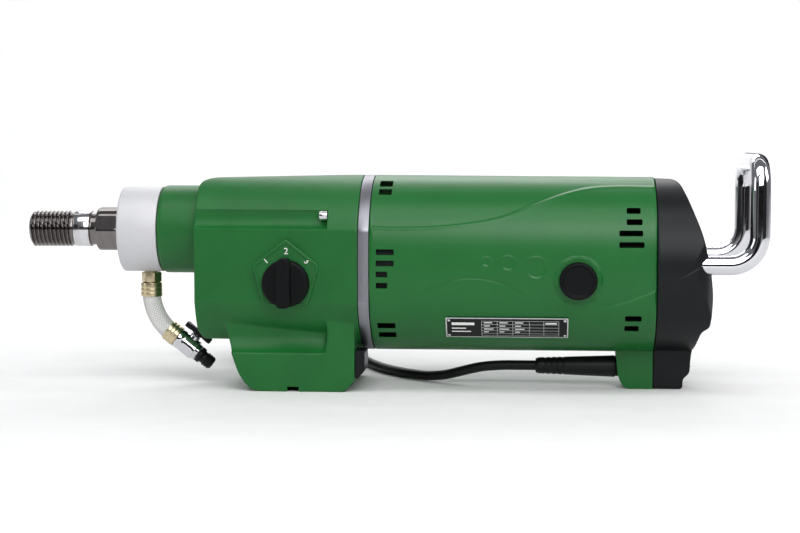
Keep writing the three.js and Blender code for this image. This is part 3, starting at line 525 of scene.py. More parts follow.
def gearbox():
    body = loose("casting", *casting_body(R_BODY, SIDE, BOX_FRONT, BOX_REAR))
    side_view = [(BOX_FRONT, 50), (BOX_FRONT + 4, 41.5), (-40, 41.5), (-20, 34), (BOX_REAR, 29.5),
                 (BOX_REAR, 183.2),
                 (BOX_FRONT + 9, 180.3), (BOX_FRONT + 2.5, 178), (BOX_FRONT, 173.5)]
    outline = rounded(side_view, [2, 2, 1, 1, 0.1, 0.1, 2, 1.5, 1.5], 4)
    cut(body, [loose("view", *prism(outline, "y", -90, 90))], "INTERSECT")
    block_view = [(-88, 66), (-76.3, 28.8), (-70.8, 13), (-60, 0), (19, 0), (28, 9.5), (28, 66)]
    pad = loose("pad", *prism(rounded(block_view, [1, 6, 8, 9, 2, 2, 1], 6), "y", -58, 58))
    for s in (-1, 1):
        rows = []
        for i in range(33):
            t = i / 32
            x = -100 + 106 * t
            r = 17.5 * math.sqrt(max(0.02, 1 - max(0, (t - 0.985) / 0.015) ** 2))
            rows.append([(x, s * 64.5 + r * math.cos(2 * PI * k / 40), 49 + r * math.sin(2 * PI * k / 40))
                         for k in range(40)])
        cut(pad, [loose("scoop", *grid(rows, closed_v=True, cap=True)),
                  loose("above", *block(-100, 4, *sorted((s * 46.8, s * 90)), 49, 80))])
    cut(body, [pad], "UNION")
    neck = rounded([(COLLAR_BACK + 0.3, 0), (COLLAR_BACK + 0.3, 36.2), (-143.4, 38.4), (-104, 38.4),
                    (-104, 0)], [0, 1.2, 1.5, 0, 0], 4, closed=False)
    cut(body, [loose("neck", *lathe(neck, 96, (0, 0, SPINDLE_Z)))], "UNION")
    remesh(body, 0.9, 6)
    for s in (-1, 1):
        groove = loose("groove", *groove_rod(s, 11, BOX_FRONT - 5, 6, 48))
        cut(body, [groove])
    corners = [(-29, 130.4), (-0.5, 108.3), (-10.5, 74.5), (-48, 74.5), (-57.5, 108.3)]
    middle = Vector(KNOB)
    seat = loose("seat", *prism(rounded(corners, [2, 4, 3, 3, 4], 5), "y", -67.0, -50))
    bake(soften(seat, 0.7, 3, 60))
    within = [tuple(middle + (Vector(c) - middle) * 0.93) for c in corners]
    cut(seat, [loose("pocket", *prism(rounded(within, [1.6, 3.4, 2.6, 2.6, 3.4], 5), "y", -70, -66.1))])
    cut(body, [seat], "UNION")
    # What the remeshing would blur: chamber, bores, keyway, screw holes.
    chamber = loose("chamber",
                    *casting_body(R_BODY - 6.5, SIDE - 6.5, -98, BOX_REAR + 6, n=64, parts=4, shrink=0.02))
    cut(chamber, [loose("view", *prism([(-98, 46), (40, 40.5), (40, 176.5), (-98, 173.5)], "y", -90, 90))],
        "INTERSECT")
    for s in (-1, 1):
        cut(chamber, [loose("wall", *groove_rod(s, 16.5, -112, 12, 24, 4))])
    tools = [chamber,
             loose("bore", *lathe([(-160, 0), (-160, 22), (-90, 22), (-90, 0)], 64, (0, 0, SPINDLE_Z))),
             loose("bore", *lathe([(-134.3, 0), (-134.3, 31), (-90, 31), (-90, 0)], 64, (0, 0, SPINDLE_Z))),
             loose("bore", *lathe([(-104.3, 0), (-104.3, 13.3), (-90, 13.3), (-90, 0)], 40, (0, 0, 77))),
             loose("key", *block(-29.5, -19.5, -80, 80, -5, 4.3)),
             loose("shaft", *lathe([(-90, 0), (-90, 6.3), (-30, 6.3), (-30, 0)], 40, (KNOB[0], 0, KNOB[1]),
                                   (0, 1, 0)))]
    for x in (-50, 12):
        for y in (-38, 38):
            tools.append(loose("hole", *lathe([(-5, 0), (-5, 5), (0.8, 4.2), (18, 4.2), (18, 0)], 32,
                                              (x, y, 0), (0, 0, 1), (1, 0, 0))))
    cut(body, tools)
    body.name = "gearbox_casting"
    dress(body, "painted_casting", "machine", ["gearbox_housing"], angle=50)
    return body


gearbox()


def flange_screws():
    for side, node in ((-1, "flange_screw_near"), (1, "flange_screw_far")):
        profile = rounded([(-1, 0), (-1, 4), (5.7, 4), (5.7, 0)], [0, 0.7, 0.2, 0], 3, closed=False)
        verts, faces = lathe(profile, 40, (0, side * SCREW_Y, GROOVE_Z))
        o = loose("screw", verts, faces)
        hexagon = [(side * SCREW_Y + 1.75 * math.cos(PI / 3 * k), GROOVE_Z + 1.75 * math.sin(PI / 3 * k))
                   for k in range(6)]
        cut(o, [loose("socket", *prism(hexagon, "x", -3, 2))])
        o.name = node.replace("flange_screw", "socket_screw")
        dress(o, "bearing_steel", "machine", [node])


flange_screws()

# ---------------------------------------------------------------- selector knob, its numbers
def selector():
    cx, cz = KNOB
    profile = [(-66.4, 0), (-66.4, 20.2), (-71.5, 19.9), (-73, 18.6), (-73.6, 0)]
    profile = rounded(profile, [0, 0.4, 2.2, 1.2, 0], 4, closed=False)
    base = loose("knob", *lathe(profile, 96, (cx, 0, cz), (0, 1, 0)))
    grip = rounded([(cx - 5.6, cz - 19.6), (cx + 5.6, cz - 19.6), (cx + 5.6, cz + 16), (cx + 3.2, cz + 22.2),
                    (cx - 3.2, cz + 22.2), (cx - 5.6, cz + 16)], [4, 4, 4, 2.4, 2.4, 4], 5)
    bar = loose("bar", *prism(grip, "y", -86.2, -70))
    cut(base, [bar], "UNION")
    remesh(base, 0.5, 4)
    base.name = "selector_grip"
    dress(base, "black_plastic", "selector", ["selector_knob"], MATT_BLACK, 60)
    for number, at, lean in (("1", (-16.9, 18.9), 42), ("2", (0.3, 27.0), 0), ("3", (17.9, 18.9), -42)):
        text = bpy.data.curves.new("number_" + number, "FONT")
        text.body = number
        text.size = 7.6 * MM
        text.extrude = 0.12 * MM
        text.align_x = "CENTER"
        text.align_y = "CENTER"
        o = bpy.data.objects.new("number_" + number, text)
        bpy.context.scene.collection.objects.link(o)
        turn = Matrix.Rotation(math.radians(-lean), 4, (0, 1, 0))
        place = Matrix.Translation(Vector((cx + at[0], -66.2, cz + at[1])) * MM)
        o.matrix_world = place @ turn @ Matrix.Rotation(PI / 2, 4, "X")
        dg = bpy.context.evaluated_depsgraph_get()
        me = bpy.data.meshes.new_from_object(o.evaluated_get(dg))
        me.transform(o.matrix_world)
        bpy.data.objects.remove(o)
        n = bpy.data.objects.new("dial_number_" + number, me)
        bpy.context.scene.collection.objects.link(n)
        dress(n, "black_plastic", "machine", finish=WHITE_INK, angle=30)


selector()

# ---------------------------------------------------------------- silver flange ring, bumper
def round_section(radius, half, n, k=2.0, lift=1.0):
    """Round outline with softly joined flats, as (y, z, normal y, normal z)."""
    out = []
    for i in range(n):
        t = 2 * PI * i / n
        y, h = radius * math.cos(t), radius * math.sin(t)
        flat = abs(y) > half
        y = math.copysign(smooth_min(abs(y), half, k), y)
        normal = (math.copysign(1, y), 0) if flat else (math.cos(t), math.sin(t))
        out.append((y, MOTOR_Z + h * (lift if h > 0 else 1), *normal))
    return out


def flange():
    n = 240
    rows = []
    for x, r in ((FLANGE, 50), (FLANGE, 75.2), (FLANGE + 0.3, 75.8), (FLANGE + 0.8, 76), (FLANGE + 8.6, 76),
                 (FLANGE + 9.1, 75.8), (FLANGE + 9.3, 75.2), (FLANGE + 9.3, 50)):
        half = SIDE - (76 - r) if r > 60 else 50
        rows.append([(x, y, z) for y, z, _, _ in round_section(r, half, n, 0.6)])
    rows.append(rows[0])
    verts, faces = grid(rows, closed_v=True)
    piece("flange_ring", verts, faces, "aluminium", "machine", ["intermediate_flange"])


def bumper():
    side = rounded([(28.3, 12), (31, 12), (36.5, 18), (36.5, 35), (28.3, 35)], [0.4, 0.8, 1.5, 1.5, 0.3], 3)
    o = piece("rear_bumper_pad", *prism(side, "y", -56, -27), "black_plastic", "machine", ["rear_bumper"])
    soften(o, 0.5, 2, 60)


flange()
bumper()

# ---------------------------------------------------------------- green motor housing
S_CREASE = [(41, 140.0), (60, 139.5), (84, 139.5), (112, 141.4), (141, 145.4), (159, 150.2), (183, 160.0),
            (205, 168.0), (226, 172.6), (250, 173.8), (281, 173.2)]
CAP_CREASE = [(232, 72.0), (250, 77.4), (267, 83.0), (281, 89.6), (299, 99.6), (316, 109.4), (340, 122)]
DIMPLES = [(139.8, 112, 3.9), (157.8, 110.9, 5.9), (181.2, 107.3, 8.9)]
FRONT_SLOTS = [(47.5, 62.5, 119.9), (47.5, 62.5, 110.5), (47.5, 57, 101.3), (47.5, 57, 91.9),
               (47.5, 62.8, 57), (48, 63, 48.4), (47.6, 58.7, 169.2), (47.6, 58.7, 175.8)]
REAR_SLOTS = [(255.6, 267.2, 154.6), (255.5, 268.6, 145.5), (249.4, 269, 136.3), (249.4, 270.2, 126.8),
              (254.9, 268.6, 65), (254.7, 266.6, 56.2)]


def ease(table, x):
    """Like along(), with the corners of the line rounded."""
    return sum(along(table, x + d) for d in (-9, -6, -3, 0, 3, 6, 9)) / 7


def side_relief(x, z):
    """How far the housing's side stands out from its plain form."""
    slope = (ease(S_CREASE, x + 2) - ease(S_CREASE, x - 2)) / 4
    d = (z - ease(S_CREASE, x)) / math.hypot(1, slope)
    h = 0
    if d < 0:
        h += 0.55 * math.exp(d / 30)
    else:
        h += 0.55 * (1 - step(0, 2.4, d)) - 0.6 * step(0, 2.4, d) * math.exp(-d / 12)
    h += 0.22 * math.exp(-((d + 0.2) / 1.0) ** 2)
    arc = 98.9 - ((x - 128) / 44) ** 2 * 14.3
    h -= 0.5 * math.exp(-((z - arc) / 1.0) ** 2) * step(82, 90, x) * (1 - step(166, 174, x))
    for cx, cz, r in DIMPLES:
        from_middle = math.hypot(x - cx, z - cz)
        rim = 0.35 * math.exp(-((from_middle - r) / 0.8) ** 2)
        h += rim - 0.55 * (1 - step(r - 1.6, r - 0.2, from_middle))
    away = math.hypot(x - BRUSH[0], z - BRUSH[1])
    h += (1.6 - h) * (1 - step(19.0, 20.4, away)) + 0.5 * math.exp(-((away - 18.8) / 0.8) ** 2)
    return h + cap_relief(x, z)


def cap_relief(x, z):
    d = (z - ease(CAP_CREASE, x)) * 0.88
    below = 0.8 * (1 - step(-0.9, 0.9, d)) * math.exp(min(0, d) / 16)
    above = 0.4 * step(-0.9, 0.9, d) * math.exp(-max(0, d) / 10)
    return step(228, 246, x) * (below - above)


def motor_housing():
    n = 720
    count = 160
    rows = []
    xs = [MOTOR, MOTOR + 0.15, MOTOR + 0.5, MOTOR + 1.0]
    xs += [MOTOR + 1.6 + (MOTOR_REAR - MOTOR - 3.2) * i / count for i in range(count + 1)]
    xs += [MOTOR_REAR - 1.0, MOTOR_REAR - 0.5, MOTOR_REAR - 0.15, MOTOR_REAR]
    for x in xs:
        lift = 1 - 0.02 * (x - MOTOR) / (MOTOR_REAR - MOTOR)
        edge = min(x - MOTOR, MOTOR_REAR - x)
        pull = 1.0 * (1 - math.sqrt(max(0, 1 - (1 - edge) ** 2))) if edge < 1 else 0
        row = []
        for y, z, ny, nz in round_section(R_BODY, 72.4, n, 12.0, lift):
            h = side_relief(x, z) if abs(y) > 14 and edge > 1 and z > 44 else 0
            h *= step(14, 24, abs(y)) * step(44, 52, z)
            row.append((x, y + ny * (h - pull), z + nz * (h - pull)))
        rows.append(row)
    inner = [(MOTOR_REAR, 62.4), (244, 62.4), (244, 67.3), (MOTOR, 67.3)]
    for x, r in inner:
        rows.append([(x, r * math.cos(2 * PI * i / n), MOTOR_Z + r * math.sin(2 * PI * i / n))
                     for i in range(n)])
    rows.append(rows[0])
    shell = loose("housing", *grid(rows, closed_v=True))
    side = [(247, 40), (248.8, 34), (251.4, 9), (257, 0), (MOTOR_REAR, 0), (MOTOR_REAR, 40)]
    foot = loose("foot", *prism(rounded(side, [0, 2, 7, 5, 0.4, 0], 5), "y", -FOOT, FOOT))
    soften(foot, 3.0, 4, 50)
    bake(foot)
    inside = loose("inside", *lathe([(240, 0), (240, 67), (290, 67), (290, 0)], 96, (0, 0, MOTOR_Z)))
    cut(foot, [inside])
    cut(shell, [foot], "UNION")
    tools = []
    for side in (-1, 1):
        for x0, x1, z in FRONT_SLOTS + REAR_SLOTS:
            y0, y1 = sorted((side * (12 if z > 172 else 30), side * 82))
            corner = 0.3 if x1 < 100 else 1.3
            outline = rounded([(x0, z - 2.4), (x1, z - 2.4), (x1, z + 2.4), (x0, z + 2.4)], corner, 4)
            tools.append(prism(outline, "y", y0, y1))
        tools.append(lathe([(side * 50, 0), (side * 50, 13.1), (side * 82, 13.1), (side * 82, 0)], 48,
                           (BRUSH[0], 0, BRUSH[1]), (0, 1, 0)))
    tools.append(lathe([(240, 0), (240, 9), (272, 9), (272, 0)], 40, (0, 0, CORD_Z)))
    cut(shell, [loose("slots", *joined(*tools))])
    shell.name = "motor_shell"
    dress(shell, "painted_housing", "machine", ["motor_housing"], angle=40)


motor_housing()


def shade_sleeves():
    """Near-black sleeves behind the vents: a dark sheet painted in as the shade inside the housing."""
    for name, x0, x1, r in (("air_guide_front", 43, 71, 66.9), ("air_guide_rear", 246, 279, 62.0)):
        turned(name, [(x0, r - 1.6), (x0, r), (x1, r), (x1, r - 1.6), (x0, r - 1.6)], "black_plastic",
               "machine", (), 96, (0, 0, MOTOR_Z), r=0.3, finish=SHADE_BLACK)


shade_sleeves()

# ---------------------------------------------------------------- brush caps
def brush_caps():
    """Screwed lids of the brush holders, one on each side."""
    for side, node in ((-1, "brush_cap_near"), (1, "brush_cap_far")):
        profile = [(60, 0), (60, 12.8), (73.1, 12.8), (73.1, 15.8), (76.4, 15.8), (78.4, 14.6), (78.4, 13.0),
                   (77.1, 12.2), (76.9, 0)]
        corners = [0, 0.3, 0.1, 0.5, 1.2, 0.8, 0.8, 0.8, 0]
        profile = rounded([(side * d, r) for d, r in profile], corners, 4, closed=False)
        verts, faces = lathe(profile, 72, (BRUSH[0], 0, BRUSH[1]), (0, 1, 0))
        piece(node.replace("brush_cap", "brush_lid"), verts, faces, "black_plastic", "machine", [node],
              MATT_BLACK, 50)


brush_caps()

# ---------------------------------------------------------------- rating plate
def curved(x0, x1, a0, a1, r0, r1, parts=10):
    """A block bent round the motor's axis; angles in degrees below the horizontal on the near side."""
    rows = []
    for k in range(parts + 1):
        a = math.radians(a0 + (a1 - a0) * k / parts)
        y, z = -math.cos(a), -math.sin(a)
        rows.append([(x0, r0 * y, MOTOR_Z + r0 * z), (x1, r0 * y, MOTOR_Z + r0 * z),
                     (x1, r1 * y, MOTOR_Z + r1 * z), (x0, r1 * y, MOTOR_Z + r1 * z)])
    return grid(rows, closed_v=True, cap=True)


def rating_plate():
    x0, x1, a0, a1 = 105.5, 208, 33, 51
    piece("plate_sheet", *curved(x0, x1, a0, a1, 76.25, 77.0, 14), "black_plastic", "machine",
          ["rating_plate"], PLATE_BLACK)
    def strips(r, boxes):
        return joined(*[curved(*b, 76.9, r) for b in boxes])
    edge = 0.9
    rim = strips(77.2, [(x0, x1, a0, a0 + 0.7), (x0, x1, a1 - 0.7, a1), (x0, x0 + edge, a0 + 0.7, a1 - 0.7),
                        (x1 - edge, x1, a0 + 0.7, a1 - 0.7)])
    piece("plate_rim", *rim, "bearing_steel", "machine", (), PLATE_SILVER)
    left, right = x0 + 30, x1 - 8
    lines = [(x0 + 30, right, a, a + 0.22) for a in (35.6, 38.4, 41.2, 44.0, 46.8, 49.0)]
    lines += [(x, x + 0.28, 35.6, 49.2) for x in (left, left + 13, left + 26, left + 40, left + 52, right)]
    piece("plate_table", *strips(77.07, lines), "bearing_steel", "machine", (), PLATE_SILVER)
    marks = [(right - 11, right - 1.5, 36.8, 38.0)]
    for i in range(3):
        start = left + 2 + 13 * i
        marks += [(start, start + w, 36.6 + 2.8 * j, 37.4 + 2.8 * j) for j, w in enumerate((7, 5, 8, 4))]
    marks += [(x0 + 5, x0 + 24, 37, 39.2), (x0 + 5, x0 + 17, 41.6, 42.5), (x0 + 5, x0 + 21, 44.6, 45.5)]
    piece("plate_marks", *strips(77.07, marks), "bearing_steel", "machine", (), WHITE_INK)
    for i, x in enumerate((x0 + 2.6, x1 - 2.6)):
        for j, a in enumerate((a0 + 2.2, a1 - 2.2)):
            out = Vector((0, -math.cos(math.radians(a)), -math.sin(math.radians(a))))
            at = Vector((x, 0, MOTOR_Z)) + out * 76.6
            profile = [(0, 0), (0, 1.3), (0.7, 1.25), (1.15, 0.7), (1.25, 0)]
            piece(f"plate_rivet_{i}{j}", *lathe(profile, 24, at, out, (1, 0, 0)), "bearing_steel", "machine",
                  (), MATERIALS["bearing_steel"])


rating_plate()

# ---------------------------------------------------------------- black rear cap
def rear_cap():
    side = [(CAP, 0), (306, 0), (306.5, 9), (312, 14), (313, 30), (319, 53), (325.5, 57), (328, 83),
            (325.5, 105), (318, 136), (306.5, 166), (302, 176), (298, 179.6), (CAP, 180.4)]
    side = rounded(side, [0.3, 3, 2, 2.5, 6, 3, 3, 8, 8, 8, 8, 5, 4, 0.3], 5)
    body = loose("cap", *prism(side, "y", -90, 90))
    lift = 0.98
    outline = [(y, z) for y, z, _, _ in round_section(75.4, 76, 160, 0.5, lift)]
    ring = loose("ring", *prism(outline, "x", CAP - 5, 340))
    foot = rounded([(-FOOT, 0.0), (FOOT, 0.0), (FOOT, 50), (-FOOT, 50)], [3, 3, 0, 0], 5)
    cut(ring, [loose("foot", *prism(foot, "x", CAP, 340))], "UNION")
    cut(body, [ring], "INTERSECT")
    plan = [(CAP - 5, -75.4), (CAP, -75.4), (314, -75.2), (322, -71), (329, -58), (329, 58), (322, 71),
            (314, 75.2), (CAP, 75.4), (CAP - 5, 75.4)]
    plan = rounded(plan, [0, 1, 8, 8, 12, 12, 8, 8, 1, 0], 6)
    cut(body, [loose("plan", *prism(plan, "z", -5, 200))], "INTERSECT")
    remesh(body, 0.8, 3)
    for v in body.data.vertices:
        x, y, z = v.co / MM
        if abs(y) > 45 and v.normal.y * y > 0 and abs(v.normal.y) > 0.55:
            v.co.y += math.copysign(cap_relief(x, z) * MM, y) * step(45, 60, abs(y))
    tools = [loose("room", *lathe([(CAP - 4, 0), (CAP - 4, 58), (296, 58), (296, 0)], 72, (0, 0, MOTOR_Z)))]
    for s in (-1, 1):
        socket = [(293.8, 0), (293.8, 8.5), (335, 8.5), (335, 0)]
        tools.append(loose("socket", *lathe(socket, 48, (0, s * HANDLE_Y, HANDLE_Z))))
    pocket = rounded([(-10.3, 13.7), (10.3, 13.7), (10.3, 33), (-10.3, 33)], 1.5, 4)
    tools.append(loose("pocket", *prism(pocket, "x", 298.8, 330)))
    cut(body, tools)
    body.name = "rear_cap_moulding"
    dress(body, "black_plastic", "machine", ["rear_cap"], angle=50)


rear_cap()

# ---------------------------------------------------------------- chromed carrying handle
def carrying_handle():
    low, top, across, out = HANDLE_Z, 193.8, HANDLE_Y, 364.6
    pts = []
    for s in (-1, 1):
        leg = [(294.6, s * across, low), (316, s * across, low)]
        leg += [(out - 24 + 24 * math.sin(a), s * across, low + 24 - 24 * math.cos(a))
                for a in (PI / 2 * k / 20 for k in range(21))]
        leg += [(out, s * across, low + 44), (out, s * across, top - 23)]
        leg += [(out, s * (across - 22 + 22 * math.cos(a)), top - 22 + 22 * math.sin(a))
                for a in (PI / 2 * k / 20 for k in range(21))]
        pts += leg if s < 0 else leg[::-1]
    verts, faces = sweep(pts, 8.2, 64)
    piece("handle_tube", verts, faces, "chromed", "machine", ["carrying_handle"], angle=50)


carrying_handle()

# ---------------------------------------------------------------- switch
def switch():
    frame_outline = rounded([(-9.9, 14.1), (9.9, 14.1), (9.9, 32.6), (-9.9, 32.6)], 1.3, 4)
    o = loose("bezel", *prism(frame_outline, "x", 299.4, 312.4))
    well = rounded([(-7.6, 16.6), (7.6, 16.6), (7.6, 30.1), (-7.6, 30.1)], 0.6, 3)
    cut(o, [loose("well", *prism(well, "x", 303.6, 320))])
    o.name = "switch_bezel"
    soften(dress(o, "black_plastic", "machine", ["switch_body"]), 0.35, 2, 50)
    side = [(304, 18.2), (310.6, 17.4), (313.6, 18.2), (311.9, 23.3), (314.3, 28.6), (311, 29.3),
            (304, 28.6)]
    r = piece("rocker_cap", *prism(rounded(side, [0.4, 0.5, 0.8, 4, 0.8, 0.5, 0.4], 4), "y", -6.9, 6.9),
              "black_plastic", "rocker", ["switch_rocker"])
    soften(r, 0.35, 2, 50)


switch()

# ---------------------------------------------------------------- water fittings
def hexagonal(axis, at, d0, d1, flats):
    """A hexagon bar with turned, chamfered ends."""
    n, up, chamfer = 96, (1, 0, 0), 0.7
    a = Vector(axis).normalized()
    u = (Vector(up) - a * Vector(up).dot(a)).normalized()
    w = a.cross(u)
    rows = []
    corner = flats / math.cos(PI / 6)
    for d, top in ((d0, 0.01), (d0, corner - 1.3), (d0 + chamfer, corner), ((d0 + d1) / 2, corner),
                   (d1 - chamfer, corner), (d1, corner - 1.3), (d1, 0.01)):
        row = []
        for t in (2 * PI * k / n for k in range(n)):
            r = min(top, flats / math.cos((t % (PI / 3)) - PI / 6))
            row.append(Vector(at) + a * d + (u * math.cos(t) + w * math.sin(t)) * r)
        rows.append(row)
    return grid(rows, closed_v=True)


HOSE_TOP = Vector((-158, 0, 84))
ALONG = Vector((0.788, 0, -0.6157))
ACROSS = Vector((0.6157, 0, 0.788))
HOSE_END = Vector((-137.15, 0, 41.25))


def hose_line():
    pts = [HOSE_TOP.copy(), HOSE_TOP - Vector((0, 0, 5))]
    centre = Vector((-158 + 44, 0, 79))
    for k in range(1, 27):
        a = math.radians(2 * k)
        pts.append(centre + Vector((-44 * math.cos(a), 0, -44 * math.sin(a))))
    pts.append(HOSE_END)
    return pts


def braided_hose():
    pts, n = hose_line(), 48
    u = Vector((0, 1, 0))
    rows, run = [], [0.0]
    for i, p in enumerate(pts):
        if i:
            run.append(run[-1] + (p - pts[i - 1]).length)
        t = (pts[min(i + 1, len(pts) - 1)] - pts[max(i - 1, 0)]).normalized()
        w = t.cross(u)
        rows.append([p + (u * math.cos(a) + w * math.sin(a)) * 8.2
                     for a in (2 * PI * k / n for k in range(n))])
    verts, faces = grid(rows, closed_v=True, cap=True)
    o = piece("braided_hose", verts, faces, "hose_plastic", "machine", ["water_hose"])
    layer = o.data.uv_layers.new(name="along")
    mesh = o.data
    for poly in mesh.polygons:
        for li in poly.loop_indices:
            co = mesh.vertices[mesh.loops[li].vertex_index].co / MM
            i = min(range(len(pts)), key=lambda k: (pts[k] - co).length)
            t = (pts[min(i + 1, len(pts) - 1)] - pts[max(i - 1, 0)]).normalized()
            off = co - pts[i]
            a = math.atan2(off.dot(t.cross(u)), off.dot(u)) % (2 * PI)
            layer.data[li].uv = (a / (2 * PI) * 5, run[i] / 10.3)
        loops = [layer.data[li] for li in poly.loop_indices]
        if max(l.uv[0] for l in loops) - min(l.uv[0] for l in loops) > 2.5:
            for l in loops:
                if l.uv[0] < 2.5:
                    l.uv = (l.uv[0] + 5, l.uv[1])


def crimp(name, node, at, axis, length, slot):
    """A sleeve with pressed rings."""
    profile = [(0, 8.3), (0, 9.3), (1.0, 9.5)]
    for d in (0.32 * length, 0.62 * length):
        profile += [(d - 0.7, 9.5), (d - 0.3, 9.2), (d + 0.3, 9.2), (d + 0.7, 9.5)]
    profile += [(length, 9.4), (length, 8.3), (0, 8.3)]
    turned(name, profile, slot, "machine", [node], 72, at, axis, (0, 1, 0), r=0.25, angle=50)


def fittings():
    nut = hexagonal((0, 0, 1), (-158, 0, 0), 88, 97.2, 7.8)
    stub = lathe([(84.6, 0), (84.6, 5.2), (101.6, 5.2), (101.6, 0)], 48, (-158, 0, 0), (0, 0, 1), (1, 0, 0))
    piece("inlet_nut", *joined(nut, stub), "brass", "machine", ["hose_fitting"], angle=30)
    crimp("upper_sleeve", "crimp_upper", (-158, 0, 75.6), (0, 0, 1), 12.0, "brass")
    crimp("lower_sleeve", "crimp_lower", HOSE_END - 8 * ALONG, ALONG, 11.0, "brass")
    body = [(-1, 0), (-1, 6.4), (3.2, 6.4), (3.2, 9), (6.5, 9), (8, 8.4), (10, 8.8), (20, 8.8), (22, 9.0),
            (22.4, 9), (22.4, 7.4), (26, 7.4), (26, 0)]
    body = rounded(body, [0, 0.4, 0.2, 0.5, 0.6, 0.8, 0.8, 0.8, 0.3, 0.5, 0.3, 0.5, 0], 3, closed=False)
    barrel = lathe(body, 72, HOSE_END, ALONG, (0, 1, 0))
    ball = HOSE_END + 15 * ALONG
    boss = rounded([(5, 0), (5, 4.8), (11.2, 4.4), (11.4, 0)], [0, 0, 0.6, 0], 3, closed=False)
    boss = lathe(boss, 40, ball, ACROSS, (0, 1, 0))
    stem = lathe([(9, 0), (9, 2.2), (14.3, 2.2), (14.3, 0)], 32, ball, ACROSS, (0, 1, 0))
    piece("valve_casting", *joined(barrel, boss, stem), "chromed", "machine", ["valve_body"], angle=40)
    nipple = [(26.4, 0), (26.4, 7.1), (30, 7.1), (31, 5.4), (33.6, 5.4), (34, 6.6), (36.2, 5.6), (36.4, 6.5),
              (38.6, 5.5), (38.8, 6.4), (41.6, 4.9), (42, 3.4), (34, 3.2), (34, 0)]
    piece("hose_nipple", *lathe(rounded(nipple, 0.25, 3, closed=False), 64, HOSE_END, ALONG, (0, 1, 0)),
          "black_plastic", "machine", ["coupling_nipple"], angle=40)


def lever():
    """Butterfly lever: a hub, a bar and two rounded wings."""
    ball = HOSE_END + 15 * ALONG
    y = Vector((0, 1, 0))
    def slab(outline, d0, d1):
        rows = [[ball + ALONG * a + y * b + ACROSS * d for a, b in outline] for d in (d0, d1)]
        return grid(rows, closed_v=True, cap=True)
    wing = [(-13.4, -3.4), (-12.4, -4.5), (-9, -4.4), (-5.5, -2.6), (5.5, -2.6), (9, -4.4), (12.4, -4.5),
            (13.4, -3.4), (13.4, 3.4), (12.4, 4.5), (9, 4.4), (5.5, 2.6),
            (-5.5, 2.6), (-9, 4.4), (-12.4, 4.5), (-13.4, 3.4)]
    bar = slab(rounded(wing, 1.2, 4), 12.6, 16.9)
    o = loose("lever", *bar)
    hub = [(11.9, 0), (11.9, 4.6), (17.4, 4.4), (17.4, 0)]
    cut(o, [loose("hub", *lathe(hub, 40, ball, ACROSS, (0, 1, 0)))], "UNION")
    cut(o, [loose("bore", *lathe([(9, 0), (9, 2.4), (15, 2.4), (15, 0)], 32, ball, ACROSS, (0, 1, 0)))])
    remesh(o, 0.4, 3)
    o.name = "butterfly_lever"
    dress(o, "black_plastic", "water_valve", ["valve_lever"], angle=60)


braided_hose()
fittings()
lever()

# ---------------------------------------------------------------- mains cord
COIL = Vector((-45, 162, 5.1))
CORD_R = 4.3


def cord_route():
    """From inside the boot along the floor to the coil, round it nine times, and up into the plug."""
    laid = [(181.2, 0, 17.5), (168, 0, 17.5), (150, 0, 17.3), (133, 1, 15.6), (117, 4, 11.6), (101, 11, 7),
            (85, 21, 4.8), (69, 35, 4.5), (56, 50, 4.5), (44, 68, 4.5),
            (34, 88, 4.5), (26, 108, 4.5), (19, 128, 4.5), (15, 145, 4.6), (13.6, 158, 5.0)]
    line = smooth_line(laid, 5)[:-1]
    turns, layer_rise, pitch = 3, 9.1, 8.7
    outer, per_turn = 58.6, 48
    inner = outer - turns * pitch
    for layer in range(3):
        a, b = (outer, inner) if layer % 2 == 0 else (inner, outer)
        for k in range(turns * per_turn):
            t = k / per_turn
            angle = 2 * PI * t
            r = a + (b - a) * t / turns
            z = layer_rise * layer + (layer_rise * (step(0, 0.16, t) - 1) if layer else 0)
            if layer == 2:
                z += 23.3 * step(2.70, 3.25, t)
            line.append(COIL + Vector((r * math.cos(angle), r * math.sin(angle), z)))
    for k in range(1, 13):
        t = 3 + k / per_turn
        angle = 2 * PI * t
        r = inner + 1.5 * k / 12
        z = layer_rise * 2 + 23.3 * step(2.70, 3.25, t)
        line.append(COIL + Vector((r * math.cos(angle), r * math.sin(angle), z)))
    end = line[-1]
    line += [end + Vector((-4 * k, 0, 0)) for k in (1, 2)]
    return line


